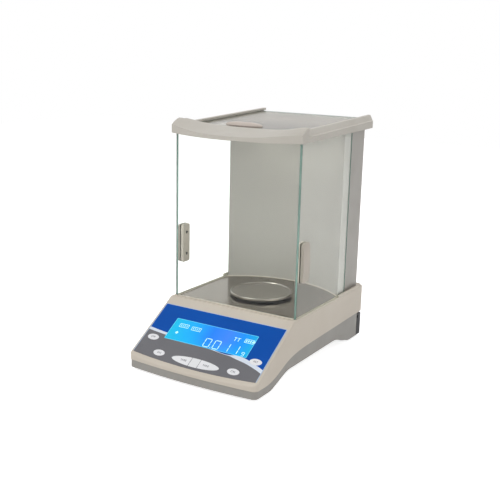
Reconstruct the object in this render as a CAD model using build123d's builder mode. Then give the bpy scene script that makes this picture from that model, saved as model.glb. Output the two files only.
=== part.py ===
from build123d import *
from math import atan2, cos, degrees, hypot, radians, sin, tan
import os

# Precision balance with a glass draft shield. All sizes are in millimetres.
# +Z is up, +X is to the right and +Y is to the rear. The origin is on the table,
# at the middle of the space that the balance takes up.
# Set-backs are measured to the rear from the casing's front corners.

# Overall size
casing_width = 215.0
casing_depth = 337.0
nose = 5.7
roof_overhang = 7.3
foot_gap = 5.0
rim_height = 86.9
shield_height = 251.6

half_width = casing_width / 2
front_y = -(nose + casing_depth + roof_overhang) / 2 + nose


def at(set_back):
    return front_y + set_back


# Casing
wall = 2.5
front_corner = 8.0
rear_corner = 14.0
edge_round = 2.5
slope_foot = 24.7
rim_set_back = 99.8
parting_front = 16.5
parting_points = [(22.0, 16.5), (82.0, 32.9), (164.0, 41.3)]
parting_rear = 44.6
seam = 0.2
lower_inset = 0.8
rear_overhang = 21.0
lower_depth = casing_depth - rear_overhang
arch_height = 20.0
arch_front = (40.0, 84.0)
arch_rear = (80.0, 32.0)
arch_points = [*arch_front, lower_depth - arch_rear[0], lower_depth - arch_rear[1]]
arch_round = 45.0
lower_corner = 4.0
top_wall = 5.0
boss_radius = 5.5
boss_hole = 1.6
thin_boss = 3.5
thin_hole = 1.2
thin_head = 2.3
thin_head_high = 1.6
thin_inset = 6.0
thin_inset_x = 4.5
slope = atan2(rim_height - slope_foot, rim_set_back)
slope_length = hypot(rim_height - slope_foot, rim_set_back)

# Weighing deck and door channels
front_glass_step = 6.2
front_glass_back = rim_set_back + front_glass_step
front_glass_thick = 3.4
front_glass_margin = 5.2
front_glass_half = half_width - front_glass_margin
chamber_front = front_glass_back + front_glass_thick
deck_thick = 1.0
deck_recess = 1.0
deck_front = chamber_front + 2.6
deck_margin = 7.9
deck_half = half_width - deck_margin
deck_fit = 0.2
deck_lap = 1.0
glass_thick = 3.0
glass_bevel = 0.4
slide_gap = 0.4
pane_fit = 0.2
door_margin = 6.7
door_inner_x = half_width - door_margin
channel_depth = 2.4
sill_height = 1.3
sill_width = 3.0
sill_lead = 0.4

# Draft shield
ceiling = rim_height + shield_height
glass_top = ceiling - 0.3
column_margin = 7.5
column_half = half_width - column_margin
rear_shelf = 11.0
column_rear = casing_depth - rear_shelf
column_depth = 79.7
column_front = column_rear - column_depth
column_sag = 40.0
column_wall = 3.0
column_corner = 9.0
chamber_rear = column_front + column_sag
door_front = chamber_front + 1.0
door_lap = 20.1
door_rear = column_front + door_lap
door_corner = 1.5
curb_height = 3.1
curb_width = 2.6
curb_lead = 5.3
curb_shelf = 19.0
curb_front = column_front - curb_lead
curb_rear = casing_depth - curb_shelf

# Roof
roof_half = half_width + 0.3
roof_front = front_glass_back - 4.0
roof_rear = casing_depth + roof_overhang
roof_corner = 17.0
roof_low = ceiling - 5.5
visor_bow = 25.5
skirt_pitch = 1.5
roof_pitch = 2.4
crest_ref = 237.0
crest_rise = 14.8
crest_height = ceiling + crest_rise
crest_edge = 0.7
rail_step = 19.0
rail_front = roof_front + rail_step
rail_margin = 9.8
rail_crest = 5.5
rail_flank = 5.0
crest_half_out = roof_half - rail_margin
crest_half_in = crest_half_out - rail_crest
ledge_half = crest_half_out + rail_flank
ledge_drop = 7.5
bar_depth = 34.6
bar_rear = roof_front + bar_depth
crown_inset = 47.8
crown_point = roof_half - crown_inset
crown_end = 6.0
# Heights of the visor over the ceiling: set-back, then middle, part way out, near the end, end
visor_sections = [
    (roof_front - 32.0, -1.2, 0.0, 2.5, 1.5),
    (roof_front - 1.0, 2.7, 4.2, 7.0, 5.5),
    (roof_front + 10.0, 4.1, 6.1, 12.5, 12.1),
    (bar_rear, 6.8, 8.1, 10.9, 10.7),
]
visor_pocket = ceiling - 3.1
visor_wall = 4.0
visor_pocket_half = crest_half_in - 0.5
hatch_margin = 5.5
hatch_lead = 3.4
hatch_lap = 7.7
hatch_half = crest_half_in - hatch_margin
hatch_front = bar_rear + hatch_lead
hatch_rear = column_front + hatch_lap
hatch_corner = 6.0
lip_drop = 3.5
groove_half = crest_half_in + 3.4
guide_inner = door_inner_x - 3.4
guide_rear = column_front - 2.3
guide_front = 2.4
roof_pocket_side = 20.0
roof_pocket_wall = 8.0
roof_pocket_half = column_half - roof_pocket_side
roof_pocket_rear = column_rear - roof_pocket_wall
roof_pocket_length = 26.0
roof_pocket_deep = 6.0

# Top door and its knob
lid_thick = 3.5
lid_drop = 3.8
lid_low = lid_drop + lid_thick + 0.3
lid_half = groove_half - 0.7
lid_front = bar_rear + 0.4
lid_shelf = 11.3
lid_rear = roof_rear - lid_shelf
knob_x = -17.0
knob_step = 18.0
knob_back = lid_front + knob_step
knob_radii = (31.0, 10.0)
knob_height = 5.0
knob_taper = 12.0
knob_round = 1.2

# Pan, its post and the weighing cell
pan_shift = 8.85
pan_back = (chamber_front + chamber_rear) / 2 - pan_shift
pan_radius = 47.5
pan_rise = 6.1
pan_height = rim_height + pan_rise
pan_sheet = 1.0
pan_lip = 1.2
pan_floor = pan_height - pan_lip
pan_rim = 3.5
pan_bead = 2.6
post_base = 9.0
post_flange = 3.6
post_radius = 5.0
post_tip = 4.0
post_gap = 0.5
post_top = pan_height - 2.7
hub_radius = 9.0
hub_fit = 0.06
hub_low = rim_height + 0.6
hub_bevel = 0.8
plate_lead = 5.8
plate_front = rim_set_back - plate_lead
plate_edge = 2.0
cell_front = plate_front + plate_edge
cell_end = 23.0
cell_rear = pan_back + cell_end
cell_width = 26.0
cell_height = 28.0
cell_drop = 44.9
cell_base = rim_height - cell_drop
cell_hole = 8.5
cell_hole_pitch = 26.0
cell_slot = 4.0
riser_length = 34.0
chassis_margin = 37.5
chassis_half = half_width - chassis_margin
chassis_thick = 3.0
plate_tail = 14.0
plate_rear = cell_rear + plate_tail

# Control panel, measured up the slope from the lower edge of the keypad film
film_start = 6.2
film_margin = 3.8
film_half = half_width - film_margin
film_end = 15.8
film_length = slope_length - film_start - film_end
film_bow = 5.8
film_thick = 0.8
film_proud = 0.3
film_corner = 2.0
membrane_thick = 0.7
window_side = 33.9
window_end = 22.2
window_half = film_half - window_side
window_high = film_length - window_end
window_length = 39.6
window_low = window_high - window_length
window_centre = window_high - window_length / 2
window_corner = 1.5
tail_slot = (24.0, 2.0)
tail_slot_step = 9.0
tail_slot_place = (0, window_high + tail_slot_step)
key_gap = 0.15
key_travel = 0.4
key_radii = (9.5, 5.2)
key_proud = 0.15
key_bevel = 0.12
key_row_high = 31.2
key_row_low = 7.4
key_insets = (16.4, 42.2, 40.0, 17.1)
key_places = {
    "key_upper_left": (key_insets[0] - film_half, key_row_high),
    "key_lower_left": (key_insets[1] - film_half, key_row_low),
    "key_lower_right": (film_half - key_insets[2], key_row_low),
    "key_upper_right": (film_half - key_insets[3], key_row_high),
}
tare_inset = 64.2
tare_half = film_half - tare_inset
tare_high = 7.0
tare_centre = (1.2, 5.2)
tare_split = 7.8

# Display stack, measured down from the casing's sloped surface
lcd_margin = 3.0
lcd_thick = 2.2
light_thick = 6.0
board_thick = 1.6
board_side = 14.2
board_below = 13.8
board_above = 16.6
board_half = window_half + board_side
board_low = window_low - board_below
board_high = window_high + board_above
board_bosses = [
    (x, v)
    for x in (thin_inset_x - board_half, board_half - thin_inset_x)
    for v in (board_low + thin_inset, board_high - thin_inset)
]
lcd_top = -(wall + 0.3)
board_top = lcd_top - lcd_thick - light_thick
display_screw_length = 6.5
recess_deep = film_thick + membrane_thick - film_proud
pocket_deep = key_travel + 0.05
window_ledge = 1.5

# Feet
foot_radius = 9.0
front_foot_insets = (23.5, 24.0)
rear_foot_insets = (18.5, 20.0)
front_foot = (half_width - front_foot_insets[0], front_foot_insets[1])
rear_foot = (half_width - rear_foot_insets[0], lower_depth - rear_foot_insets[1])
stud_radius = 3.0
bushing_wall = 3.5
bushing_top = 24.0
stud_fit = 0.08
stud_length = 15.0
pad_thick = 1.4
pad_gap = 0.1
pad_pin = 2.0
pad_pin_high = 1.8
wheel_gap = 0.4
knurl_count = 20
knurl_radius = 0.8
foot_peg = 2.5

# Rear panel with its inlet and port
rear_panel_depth = 16.0
rear_panel_margin = 2.5
rear_panel_half = half_width - rear_panel_margin
rear_panel_low = 3.0
rear_panel_step = 5.1
rear_panel_high = parting_rear - rear_panel_step
rear_panel_wall = 2.0
groove_width = 1.4
groove_pitch = 3.6
groove_count = 4
panel_screw_in = 6.0
panel_screw_down = 5.0
panel_screw_head = 3.0
panel_head_high = 1.2
panel_screw_length = 6.0
serial_x = -34.0
serial_half = 9.5
serial_high = 9.4
serial_corner = 2.0
serial_flange = (31.0, 12.6)
serial_flange_thick = 0.8
serial_length = 12.6
serial_wall = 0.7
serial_deep = 3.6
pin_pitch = 2.7
pin_rows = 2.8
pin_radius = 0.5
pin_length = 3.0
jack_x = 42.0
jack_radius = 5.5
jack_collar = 1.6
jack_collar_thick = 1.2
jack_length = 11.0
jack_bore = 2.8
jack_pin = 1.0
jack_deep = 9.0

# Door grips, their inner plates and the four grip screws
grip_step = 6.6
grip_start = door_front + grip_step
grip_length = 20.0
grip_rise = 50.1
grip_tall = 58.0
grip_low = rim_height + grip_rise
grip_high = grip_low + grip_tall
grip_middle = (grip_low + grip_high) / 2
grip_ends = 3.4
grip_bulge = 5.0
grip_corner = 4.0
grip_round = 0.9
grip_plate_thick = 4.6
grip_plate_length = 17.0
grip_plate_corner = 3.0
grip_screw_radius = 1.5
grip_screw_deep = 2.6
grip_head = 2.4
grip_head_deep = 1.2
grip_screw_spread = 16.5
grip_screw_inset = 9.0
grip_screw_back = grip_start + grip_screw_inset

# Screw places of the casing, each with the height of its screw's seat
case_screw_margin = 15.5
case_screw_x = half_width - case_screw_margin
case_screw_rear = 54.0
case_screw_rows = ((48.0, 11.6), (150.0, 28.0), (lower_depth - case_screw_rear, 31.0))
case_screw_seats = [
    (x, at(back), seat) for x in (-case_screw_x, case_screw_x) for back, seat in case_screw_rows
]
case_screw_places = [(x, y) for x, y, seat in case_screw_seats]
case_screw_length = 20.0
case_head = 3.2
case_head_high = 2.2

# Main board, hung from the rim behind the weighing cell
main_board_drop = 26.9
main_board_low = rim_height - main_board_drop
main_board_margin = 30.5
main_board_half = half_width - main_board_margin
main_board_length = 68.0
main_board_step = 24.0
main_board_middle = cell_rear + main_board_step + main_board_length / 2
main_board_bosses = [
    (x, at(main_board_middle + y))
    for x in (thin_inset_x - main_board_half, main_board_half - thin_inset_x)
    for y in (thin_inset - main_board_length / 2, main_board_length / 2 - thin_inset)
]
main_screw_length = 7.0
board_corner = 2.0

panel_plane = Plane(
    origin=(0, front_y + film_start * cos(slope), slope_foot + film_start * sin(slope)),
    x_dir=(1, 0, 0),
    z_dir=(0, -sin(slope), cos(slope)),
)

os.makedirs("parts", exist_ok=True)


def write(part, name):
    part.label = name
    export_step(part, "parts/" + name + ".step")


# Plan outline of the casing, bowed at the front
def casing_outline(inset=0.0, rear=casing_depth, corner=rear_corner):
    half = half_width - inset
    low_y = front_y + inset
    high_y = at(rear) - inset
    with BuildSketch() as outline:
        with BuildLine():
            ThreePointArc((-half, low_y), (0, low_y - nose), (half, low_y))
            Polyline((half, low_y), (half, high_y), (-half, high_y), (-half, low_y))
        make_face()
        fillet(outline.vertices().group_by(Axis.Y)[0], max(front_corner - inset, 1.0))
        fillet(outline.vertices().group_by(Axis.Y)[-1], max(corner - inset, 1.0))
    return outline.sketch


# Line along which the casings meet, seen from the side; it is drawn in the builder that calls it
def parting_edges(lift, front_end):
    points = [(at(back), height + lift) for back, height in parting_points]
    Line((front_end, parting_front + lift), points[0])
    Spline(*points, tangents=[(1, 0), (1, 0.02)])
    Line(points[-1], (at(casing_depth) + 1, parting_rear + lift))


# Side view of the upper casing, pulled in by its wall thickness
def upper_profile(inset=0.0, lift=0.0, top_inset=0.0):
    top = rim_height - top_inset
    slope_low = slope_foot - inset / cos(slope)
    front_end = front_y - nose - 1.0 + inset
    rear_end = at(casing_depth) + 1
    with BuildSketch(Plane.YZ) as profile:
        with BuildLine():
            parting_edges(lift, front_end)
            Polyline(
                (rear_end, parting_rear + lift),
                (rear_end, top),
                (front_y + (top - slope_low) / tan(slope), top),
                (front_end, slope_low + (front_end - front_y) * tan(slope)),
                (front_end, parting_front + lift),
            )
        make_face()
    return profile.sketch


# Side view of the lower casing, arched between its ends
def lower_profile(inset=0.0, lift=0.0):
    first, second, third, fourth = [at(back) for back in arch_points]
    shift = inset * tan(radians(9.5))
    front_end = front_y - nose - 1.0 + inset
    rear_end = at(casing_depth) + 1
    with BuildSketch(Plane.YZ) as profile:
        with BuildLine():
            parting_edges(lift, front_end)
            belly = FilletPolyline(
                (front_end, foot_gap + inset),
                (first - shift, foot_gap + inset),
                (second - shift, arch_height + inset),
                (third + shift, arch_height + inset),
                (fourth + shift, foot_gap + inset),
                (rear_end, foot_gap + inset),
                radius=arch_round,
            )
            Line((front_end, parting_front + lift), belly @ 0)
            Line((rear_end, parting_rear + lift), belly @ 1)
        make_face()
    return profile.sketch


# Outline of the keypad film on the sloped panel, with a bowed lower edge
def film_outline(grow=0.0, level=0.0):
    half = film_half + grow
    with BuildSketch(panel_plane.offset(level)) as outline:
        with BuildLine():
            ThreePointArc((-half, -grow), (0, -film_bow - grow), (half, -grow))
            Polyline((half, -grow), (half, film_length + grow), (-half, film_length + grow), (-half, -grow))
        make_face()
        fillet(outline.vertices(), film_corner)
    return outline.sketch


def key_outline(place, grow=0.0, level=0.0):
    with BuildSketch(panel_plane.offset(level)) as outline:
        with Locations(place):
            Ellipse(key_radii[0] + grow, key_radii[1] + grow)
    return outline.sketch


# One end of the long centre key; side is -1 for the left end and 1 for the right end
def tare_outline(side, grow=0.0, level=0.0):
    centre_x, centre_v = tare_centre
    half = tare_half + grow
    high = tare_high + grow
    with BuildSketch(panel_plane.offset(level)) as outline:
        with BuildLine():
            top = ThreePointArc(
                (centre_x - half, centre_v), (centre_x, centre_v + high), (centre_x + half, centre_v)
            )
            ThreePointArc(top @ 0, (centre_x, centre_v - high), top @ 1)
        make_face()
        with Locations((centre_x + side * (tare_split - grow + tare_half), centre_v)):
            Rectangle(2 * tare_half, 4 * tare_high, mode=Mode.INTERSECT)
    return outline.sketch


def window_outline(grow=0.0, level=0.0):
    with BuildSketch(panel_plane.offset(level)) as outline:
        with Locations((0, window_centre)):
            RectangleRounded(2 * (window_half + grow), window_length + 2 * grow, window_corner)
    return outline.sketch


# Upper casing
with BuildPart() as upper_hollow:
    extrude(casing_outline(wall), amount=rim_height)
    extrude(upper_profile(wall, -1.0, top_wall), amount=casing_width, both=True, mode=Mode.INTERSECT)
    # The overhang behind the lower casing keeps a floor
    with BuildSketch(Plane.XY):
        with Locations((0, at((lower_depth - wall + casing_depth) / 2))):
            Rectangle(casing_width, casing_depth - lower_depth + wall)
    extrude(amount=parting_rear + wall, mode=Mode.SUBTRACT)
    # Bosses are left standing where the hollow is not cut
    with BuildSketch(Plane.XY):
        with Locations(*case_screw_places):
            Circle(boss_radius)
    extrude(amount=rim_height, mode=Mode.SUBTRACT)
    with BuildSketch(Plane.XY.offset(main_board_low + board_thick)):
        with Locations(*main_board_bosses):
            Circle(thin_boss)
    extrude(amount=rim_height, mode=Mode.SUBTRACT)
    with BuildSketch(panel_plane.offset(board_top)):
        with Locations(*board_bosses):
            Circle(thin_boss)
    extrude(amount=-board_top, mode=Mode.SUBTRACT)

with BuildPart() as upper_case:
    extrude(casing_outline(), amount=rim_height)
    extrude(upper_profile(), amount=casing_width, both=True, mode=Mode.INTERSECT)
    slope_face = upper_case.faces().filter_by(lambda face: face.normal_at().dot(panel_plane.z_dir) > 0.999)
    rim_face = upper_case.faces().sort_by(Axis.Z)[-1]
    fillet(rim_face.edges() + slope_face.edges(), edge_round)
    add(upper_hollow.part, mode=Mode.SUBTRACT)
    # Front sill rib and the rear curbs that guide the doors
    with BuildSketch(Plane.XY.offset(rim_height - 0.5)):
        with Locations((0, at(front_glass_back - sill_lead - sill_width / 2))):
            Rectangle(2 * front_glass_half, sill_width)
    extrude(amount=sill_height + 0.5)
    curb_inner = door_inner_x + glass_thick + slide_gap
    with BuildSketch(Plane.XY.offset(rim_height - edge_round)):
        for side in (-1, 1):
            with Locations((side * (curb_inner + curb_width / 2), at((curb_front + curb_rear) / 2))):
                RectangleRounded(curb_width, curb_rear - curb_front, curb_width / 2 - 0.1)
    extrude(amount=curb_height + edge_round)
    # Recess of the steel deck, groove of the front glass and channels of the doors
    with BuildSketch(Plane.XY.offset(rim_height)):
        with BuildLine():
            back_arc = ThreePointArc(
                (-deck_half - deck_fit, at(column_front - deck_lap + deck_fit)),
                (0, at(chamber_rear - deck_lap + deck_fit)),
                (deck_half + deck_fit, at(column_front - deck_lap + deck_fit)),
            )
            Polyline(
                back_arc @ 0,
                (-deck_half - deck_fit, at(deck_front - deck_fit)),
                (deck_half + deck_fit, at(deck_front - deck_fit)),
                back_arc @ 1,
            )
        make_face()
    extrude(amount=-(deck_recess + deck_thick), mode=Mode.SUBTRACT)
    with BuildSketch(Plane.XY.offset(rim_height)):
        with Locations((0, at(front_glass_back + front_glass_thick / 2))):
            Rectangle(2 * (front_glass_half + pane_fit), front_glass_thick + 2 * pane_fit)
        for side in (-1, 1):
            with Locations((side * (door_inner_x + glass_thick / 2), at((door_front + casing_depth) / 2))):
                Rectangle(glass_thick + 2 * slide_gap, casing_depth - door_front + 2.0)
    extrude(amount=-channel_depth, mode=Mode.SUBTRACT)
    # Clearance hole of the pan post
    with Locations((0, at(pan_back), rim_height - deck_recess - deck_thick)):
        Hole(radius=post_radius + 3.0, depth=top_wall)
    # Recess of the keypad film, display opening and slot for the keypad's tail
    extrude(film_outline(0.2), amount=-recess_deep, mode=Mode.SUBTRACT)
    extrude(window_outline(-window_ledge), amount=-2 * wall, mode=Mode.SUBTRACT)
    with BuildSketch(panel_plane):
        with Locations(tail_slot_place):
            Rectangle(*tail_slot)
    extrude(amount=-2 * wall, mode=Mode.SUBTRACT)
    # Screw holes from below
    for x, y, seat in case_screw_seats:
        with BuildSketch(Plane.XY):
            with Locations((x, y)):
                Circle(boss_hole)
        extrude(amount=seat + case_screw_length + 2.0, mode=Mode.SUBTRACT)
    with BuildSketch(Plane.XY.offset(main_board_low)):
        with Locations(*main_board_bosses):
            Circle(thin_hole)
    extrude(amount=main_screw_length + 1.0, mode=Mode.SUBTRACT)
    with BuildSketch(panel_plane.offset(board_top)):
        with Locations(*board_bosses):
            Circle(thin_hole)
    extrude(amount=display_screw_length - 0.5, mode=Mode.SUBTRACT)

write(upper_case.part, "upper_case")

# Lower casing
with BuildPart() as lower_hollow:
    extrude(casing_outline(wall + lower_inset, lower_depth, lower_corner), amount=rim_height)
    extrude(lower_profile(wall, 1.0), amount=casing_width, both=True, mode=Mode.INTERSECT)
    # Screw pillars and bushings of the levelling feet are left standing
    with BuildSketch(Plane.XY):
        with Locations(*case_screw_places):
            Circle(boss_radius)
    extrude(amount=rim_height, mode=Mode.SUBTRACT)
    with BuildSketch(Plane.XY):
        with Locations((-rear_foot[0], at(rear_foot[1])), (rear_foot[0], at(rear_foot[1]))):
            Circle(stud_radius + bushing_wall)
    extrude(amount=bushing_top, mode=Mode.SUBTRACT)

with BuildPart() as lower_case:
    extrude(casing_outline(lower_inset, lower_depth, lower_corner), amount=rim_height)
    extrude(lower_profile(0.0, -seam), amount=casing_width, both=True, mode=Mode.INTERSECT)
    add(lower_hollow.part, mode=Mode.SUBTRACT)
    for x, y, seat in case_screw_seats:
        with BuildSketch(Plane.XY):
            with Locations((x, y)):
                Circle(boss_hole)
        extrude(amount=rim_height, mode=Mode.SUBTRACT)
        with BuildSketch(Plane.XY):
            with Locations((x, y)):
                Circle(case_head + 0.2)
        extrude(amount=seat, mode=Mode.SUBTRACT)
    with BuildSketch(Plane.XY):
        with Locations((-rear_foot[0], at(rear_foot[1])), (rear_foot[0], at(rear_foot[1]))):
            Circle(stud_radius + stud_fit)
        with Locations((-front_foot[0], at(front_foot[1])), (front_foot[0], at(front_foot[1]))):
            Circle(foot_peg)
    extrude(amount=rim_height, mode=Mode.SUBTRACT)

write(lower_case.part, "lower_case")
print("casing", upper_case.part.bounding_box().size, lower_case.part.bounding_box().size)

# Chassis plate, riser and the single-point load cell
floor_z = arch_height + wall
with BuildPart() as chassis_plate:
    with BuildSketch(Plane.XY.offset(floor_z)):
        with Locations((0, at((plate_front + plate_rear) / 2))):
            RectangleRounded(2 * chassis_half, plate_rear - plate_front, 6.0)
    extrude(amount=chassis_thick)

write(chassis_plate.part, "chassis_plate")

riser_y = at(cell_front + riser_length / 2)
with BuildPart() as load_cell_riser:
    with BuildSketch(Plane.XY.offset(floor_z + chassis_thick)):
        with Locations((0, riser_y)):
            RectangleRounded(cell_width, riser_length, 2.0)
    extrude(amount=cell_base - floor_z - chassis_thick)

write(load_cell_riser.part, "load_cell_riser")

cell_centre = (at((cell_front + cell_rear) / 2), cell_base + cell_height / 2)
with BuildPart() as load_cell:
    with BuildSketch(Plane.YZ) as cell_side:
        with Locations(cell_centre):
            Rectangle(cell_rear - cell_front, cell_height)
            fillet(cell_side.vertices(), 1.0)
            with GridLocations(cell_hole_pitch, 0, 2, 1):
                Circle(cell_hole, mode=Mode.SUBTRACT)
            Rectangle(cell_hole_pitch, cell_slot, mode=Mode.SUBTRACT)
    extrude(amount=cell_width / 2, both=True)

write(load_cell.part, "load_cell")

# Main board, hung under the rim
with BuildPart() as main_board:
    with BuildSketch(Plane.XY.offset(main_board_low)):
        with Locations((0, at(main_board_middle))):
            RectangleRounded(2 * main_board_half, main_board_length, board_corner)
        with Locations(*main_board_bosses):
            Circle(thin_hole, mode=Mode.SUBTRACT)
    extrude(amount=board_thick)

write(main_board.part, "main_board")

with BuildPart() as board_screws:
    with BuildSketch(Plane.XY.offset(main_board_low)):
        with Locations(*main_board_bosses):
            Circle(thin_head)
    extrude(amount=-thin_head_high)
    with BuildSketch(Plane.XY.offset(main_board_low)):
        with Locations(*main_board_bosses):
            Circle(thin_hole)
    extrude(amount=main_screw_length)

write(board_screws.part, "board_screws")

# Steel deck of the weighing chamber
with BuildPart() as deck_plate:
    with BuildSketch(Plane.XY.offset(rim_height - deck_recess)):
        with BuildLine():
            deck_arc = ThreePointArc(
                (-deck_half, at(column_front - deck_lap)),
                (0, at(chamber_rear - deck_lap)),
                (deck_half, at(column_front - deck_lap)),
            )
            Polyline(
                deck_arc @ 0,
                (-deck_half, at(deck_front)),
                (deck_half, at(deck_front)),
                deck_arc @ 1,
            )
        make_face()
        with Locations((0, at(pan_back))):
            Circle(post_radius + 2.0, mode=Mode.SUBTRACT)
    extrude(amount=-deck_thick)

write(deck_plate.part, "deck_plate")

# Column: the concave rear wall of the chamber and the hollow behind it
with BuildPart() as chamber_wall:
    with BuildSketch(Plane.XY.offset(rim_height)) as column_plan:
        with BuildLine():
            wall_arc = ThreePointArc(
                (-column_half, at(column_front)),
                (0, at(chamber_rear)),
                (column_half, at(column_front)),
            )
            Polyline(
                wall_arc @ 0,
                (-column_half, at(column_rear)),
                (column_half, at(column_rear)),
                wall_arc @ 1,
            )
        make_face()
        fillet(column_plan.vertices().group_by(Axis.Y)[-1], column_corner)
        fillet(column_plan.vertices().group_by(Axis.Y)[0], 1.0)
        offset(amount=-column_wall, mode=Mode.SUBTRACT)
    extrude(amount=ceiling - rim_height)

write(chamber_wall.part, "chamber_wall")

# Front glass
with BuildPart() as front_glass:
    with BuildSketch(Plane.XZ.offset(-at(front_glass_back))):
        with Locations((0, (rim_height - channel_depth + glass_top) / 2)):
            Rectangle(2 * front_glass_half, glass_top - rim_height + channel_depth)
    extrude(amount=-front_glass_thick)
    chamfer(front_glass.edges().filter_by(Axis.Z), glass_bevel)

write(front_glass.part, "front_glass")


# Roof frame. Its rails and the top door follow a plane that climbs to the rear.
roof_plane = Plane(
    origin=(0, at(crest_ref), crest_height),
    x_dir=(-1, 0, 0),
    z_dir=(0, cos(radians(roof_pitch)), sin(radians(roof_pitch))),
)


# Distance along the roof plane from its origin to a set-back
def along_roof(set_back):
    return (set_back - crest_ref) / cos(radians(roof_pitch))


def roof_outline(inset=0.0, rear=roof_rear):
    half = roof_half - inset
    with BuildSketch(Plane.XY.offset(roof_low - 20)) as outline:
        with BuildLine():
            ThreePointArc(
                (-half, at(roof_front) + inset),
                (0, at(roof_front - visor_bow) + inset),
                (half, at(roof_front) + inset),
            )
            Polyline(
                (half, at(roof_front) + inset),
                (half, at(rear) - inset),
                (-half, at(rear) - inset),
                (-half, at(roof_front) + inset),
            )
        make_face()
        fillet(outline.vertices().group_by(Axis.Y)[-1], max(roof_corner - inset, 1.0))
    return outline.sketch


# A section of the roof is drawn across its slope, with y upward
with BuildPart() as roof_frame:
    with BuildSketch(roof_plane.offset(along_roof(rail_front))) as rail_section:
        with BuildLine():
            right_side = Polyline(
                (0, -lid_low),
                (groove_half, -lid_low),
                (groove_half, -lip_drop),
                (crest_half_in, -lip_drop),
                (crest_half_in, -crest_edge),
                (crest_half_in + crest_edge, 0),
                (crest_half_out - crest_edge, 0),
                (crest_half_out, -crest_edge),
                (ledge_half, -ledge_drop),
                (roof_half + 1, -ledge_drop),
                (roof_half + 1, -4 * ledge_drop),
                (0, -4 * ledge_drop),
            )
            Line(right_side @ 1, right_side @ 0)
        make_face()
        mirror(about=Plane.YZ)
    extrude(amount=along_roof(roof_rear + 8.0) - along_roof(rail_front))
    # Bowed visor, through four cross sections
    for back, middle, part_way, near_end, end in visor_sections:
        with BuildSketch(Plane.XZ.offset(-at(back))):
            with BuildLine():
                crown = Spline(
                    (-roof_half - 1, ceiling + end),
                    (-roof_half + crown_end, ceiling + near_end),
                    (-crown_point, ceiling + part_way),
                    (0, ceiling + middle),
                    (crown_point, ceiling + part_way),
                    (roof_half - crown_end, ceiling + near_end),
                    (roof_half + 1, ceiling + end),
                )
                Polyline(crown @ 1, (roof_half + 1, roof_low - 8), (-roof_half - 1, roof_low - 8), crown @ 0)
            make_face()
    loft()
    # Outside of the rails the ledge runs on to the corner of the visor
    with BuildSketch(roof_plane.offset(along_roof(rail_front))):
        for side in (-1, 1):
            with BuildLine():
                Polyline(
                    (side * crest_half_out, 0),
                    (side * ledge_half, -ledge_drop),
                    (side * (roof_half + 3), -ledge_drop),
                    (side * (roof_half + 3), 10.0),
                    (side * crest_half_out, 10.0),
                    close=True,
                )
            make_face()
    extrude(amount=along_roof(roof_rear) - along_roof(rail_front), mode=Mode.SUBTRACT)
    extrude(roof_outline(), amount=80.0, mode=Mode.INTERSECT)
    # Skirt line, rising to the rear
    with BuildSketch(Plane.YZ):
        with BuildLine():
            rise = tan(radians(skirt_pitch))
            front_end = roof_front - 2 * visor_bow
            rear_end = roof_rear + 2 * visor_bow
            Polyline(
                (at(front_end), roof_low - (roof_front - front_end) * rise),
                (at(rear_end), roof_low + (rear_end - roof_front) * rise),
                (at(rear_end), roof_low - 2 * visor_bow),
                (at(front_end), roof_low - 2 * visor_bow),
                close=True,
            )
        make_face()
    extrude(amount=casing_width, both=True, mode=Mode.SUBTRACT)
    # Room for the glass: groove of the front pane, door channels and the chamber between them
    groove_front = at(front_glass_back - pane_fit)
    groove_rear = at(chamber_front + pane_fit)
    channel_half = door_inner_x + glass_thick + slide_gap
    with BuildSketch(Plane.XY.offset(ceiling - 20)):
        with Locations((0, (groove_front + at(roof_rear + 10)) / 2)):
            Rectangle(2 * channel_half, at(roof_rear + 10) - groove_front)
        with Locations((0, (groove_rear + at(guide_rear)) / 2)):
            Rectangle(2 * (door_inner_x - slide_gap), at(guide_rear) - groove_rear, mode=Mode.SUBTRACT)
        with Locations((0, (groove_rear + guide_front + at(guide_rear)) / 2)):
            Rectangle(2 * guide_inner, at(guide_rear) - groove_rear - guide_front)
    extrude(amount=20.0, mode=Mode.SUBTRACT)
    # Hatch under the top door
    with BuildSketch(Plane.XY.offset(ceiling - 20)):
        with Locations((0, at((hatch_front + hatch_rear) / 2))):
            RectangleRounded(2 * hatch_half, hatch_rear - hatch_front, hatch_corner)
    extrude(amount=60.0, mode=Mode.SUBTRACT)
    # Lightening pockets in the visor and over the column
    with BuildSketch(Plane.XY.offset(ceiling - 20)):
        with BuildLine():
            pocket_rear = at(roof_front - visor_wall / 2)
            pocket_arc = ThreePointArc(
                (-visor_pocket_half, pocket_rear),
                (0, at(roof_front - visor_bow + visor_wall)),
                (visor_pocket_half, pocket_rear),
            )
            Line(pocket_arc @ 1, pocket_arc @ 0)
        make_face()
    extrude(amount=visor_pocket - ceiling + 20, mode=Mode.SUBTRACT)
    with BuildSketch(Plane.XY.offset(ceiling)):
        with Locations((0, at(roof_pocket_rear - roof_pocket_length / 2))):
            RectangleRounded(2 * roof_pocket_half, roof_pocket_length, hatch_corner)
    extrude(amount=roof_pocket_deep, mode=Mode.SUBTRACT)

write(roof_frame.part, "roof_frame")
print("roof", roof_frame.part.bounding_box())

# Keypad film with the fixed middle of the centre key
with BuildPart() as keypad_overlay:
    extrude(film_outline(0.0, film_proud), amount=-film_thick)
    extrude(window_outline(0.15, film_proud), amount=-film_thick, mode=Mode.SUBTRACT)
    for place in key_places.values():
        extrude(key_outline(place, key_gap, film_proud), amount=-film_thick, mode=Mode.SUBTRACT)
    for side in (-1, 1):
        extrude(tare_outline(side, key_gap, film_proud), amount=-film_thick, mode=Mode.SUBTRACT)

write(keypad_overlay.part, "keypad_overlay")

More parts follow.
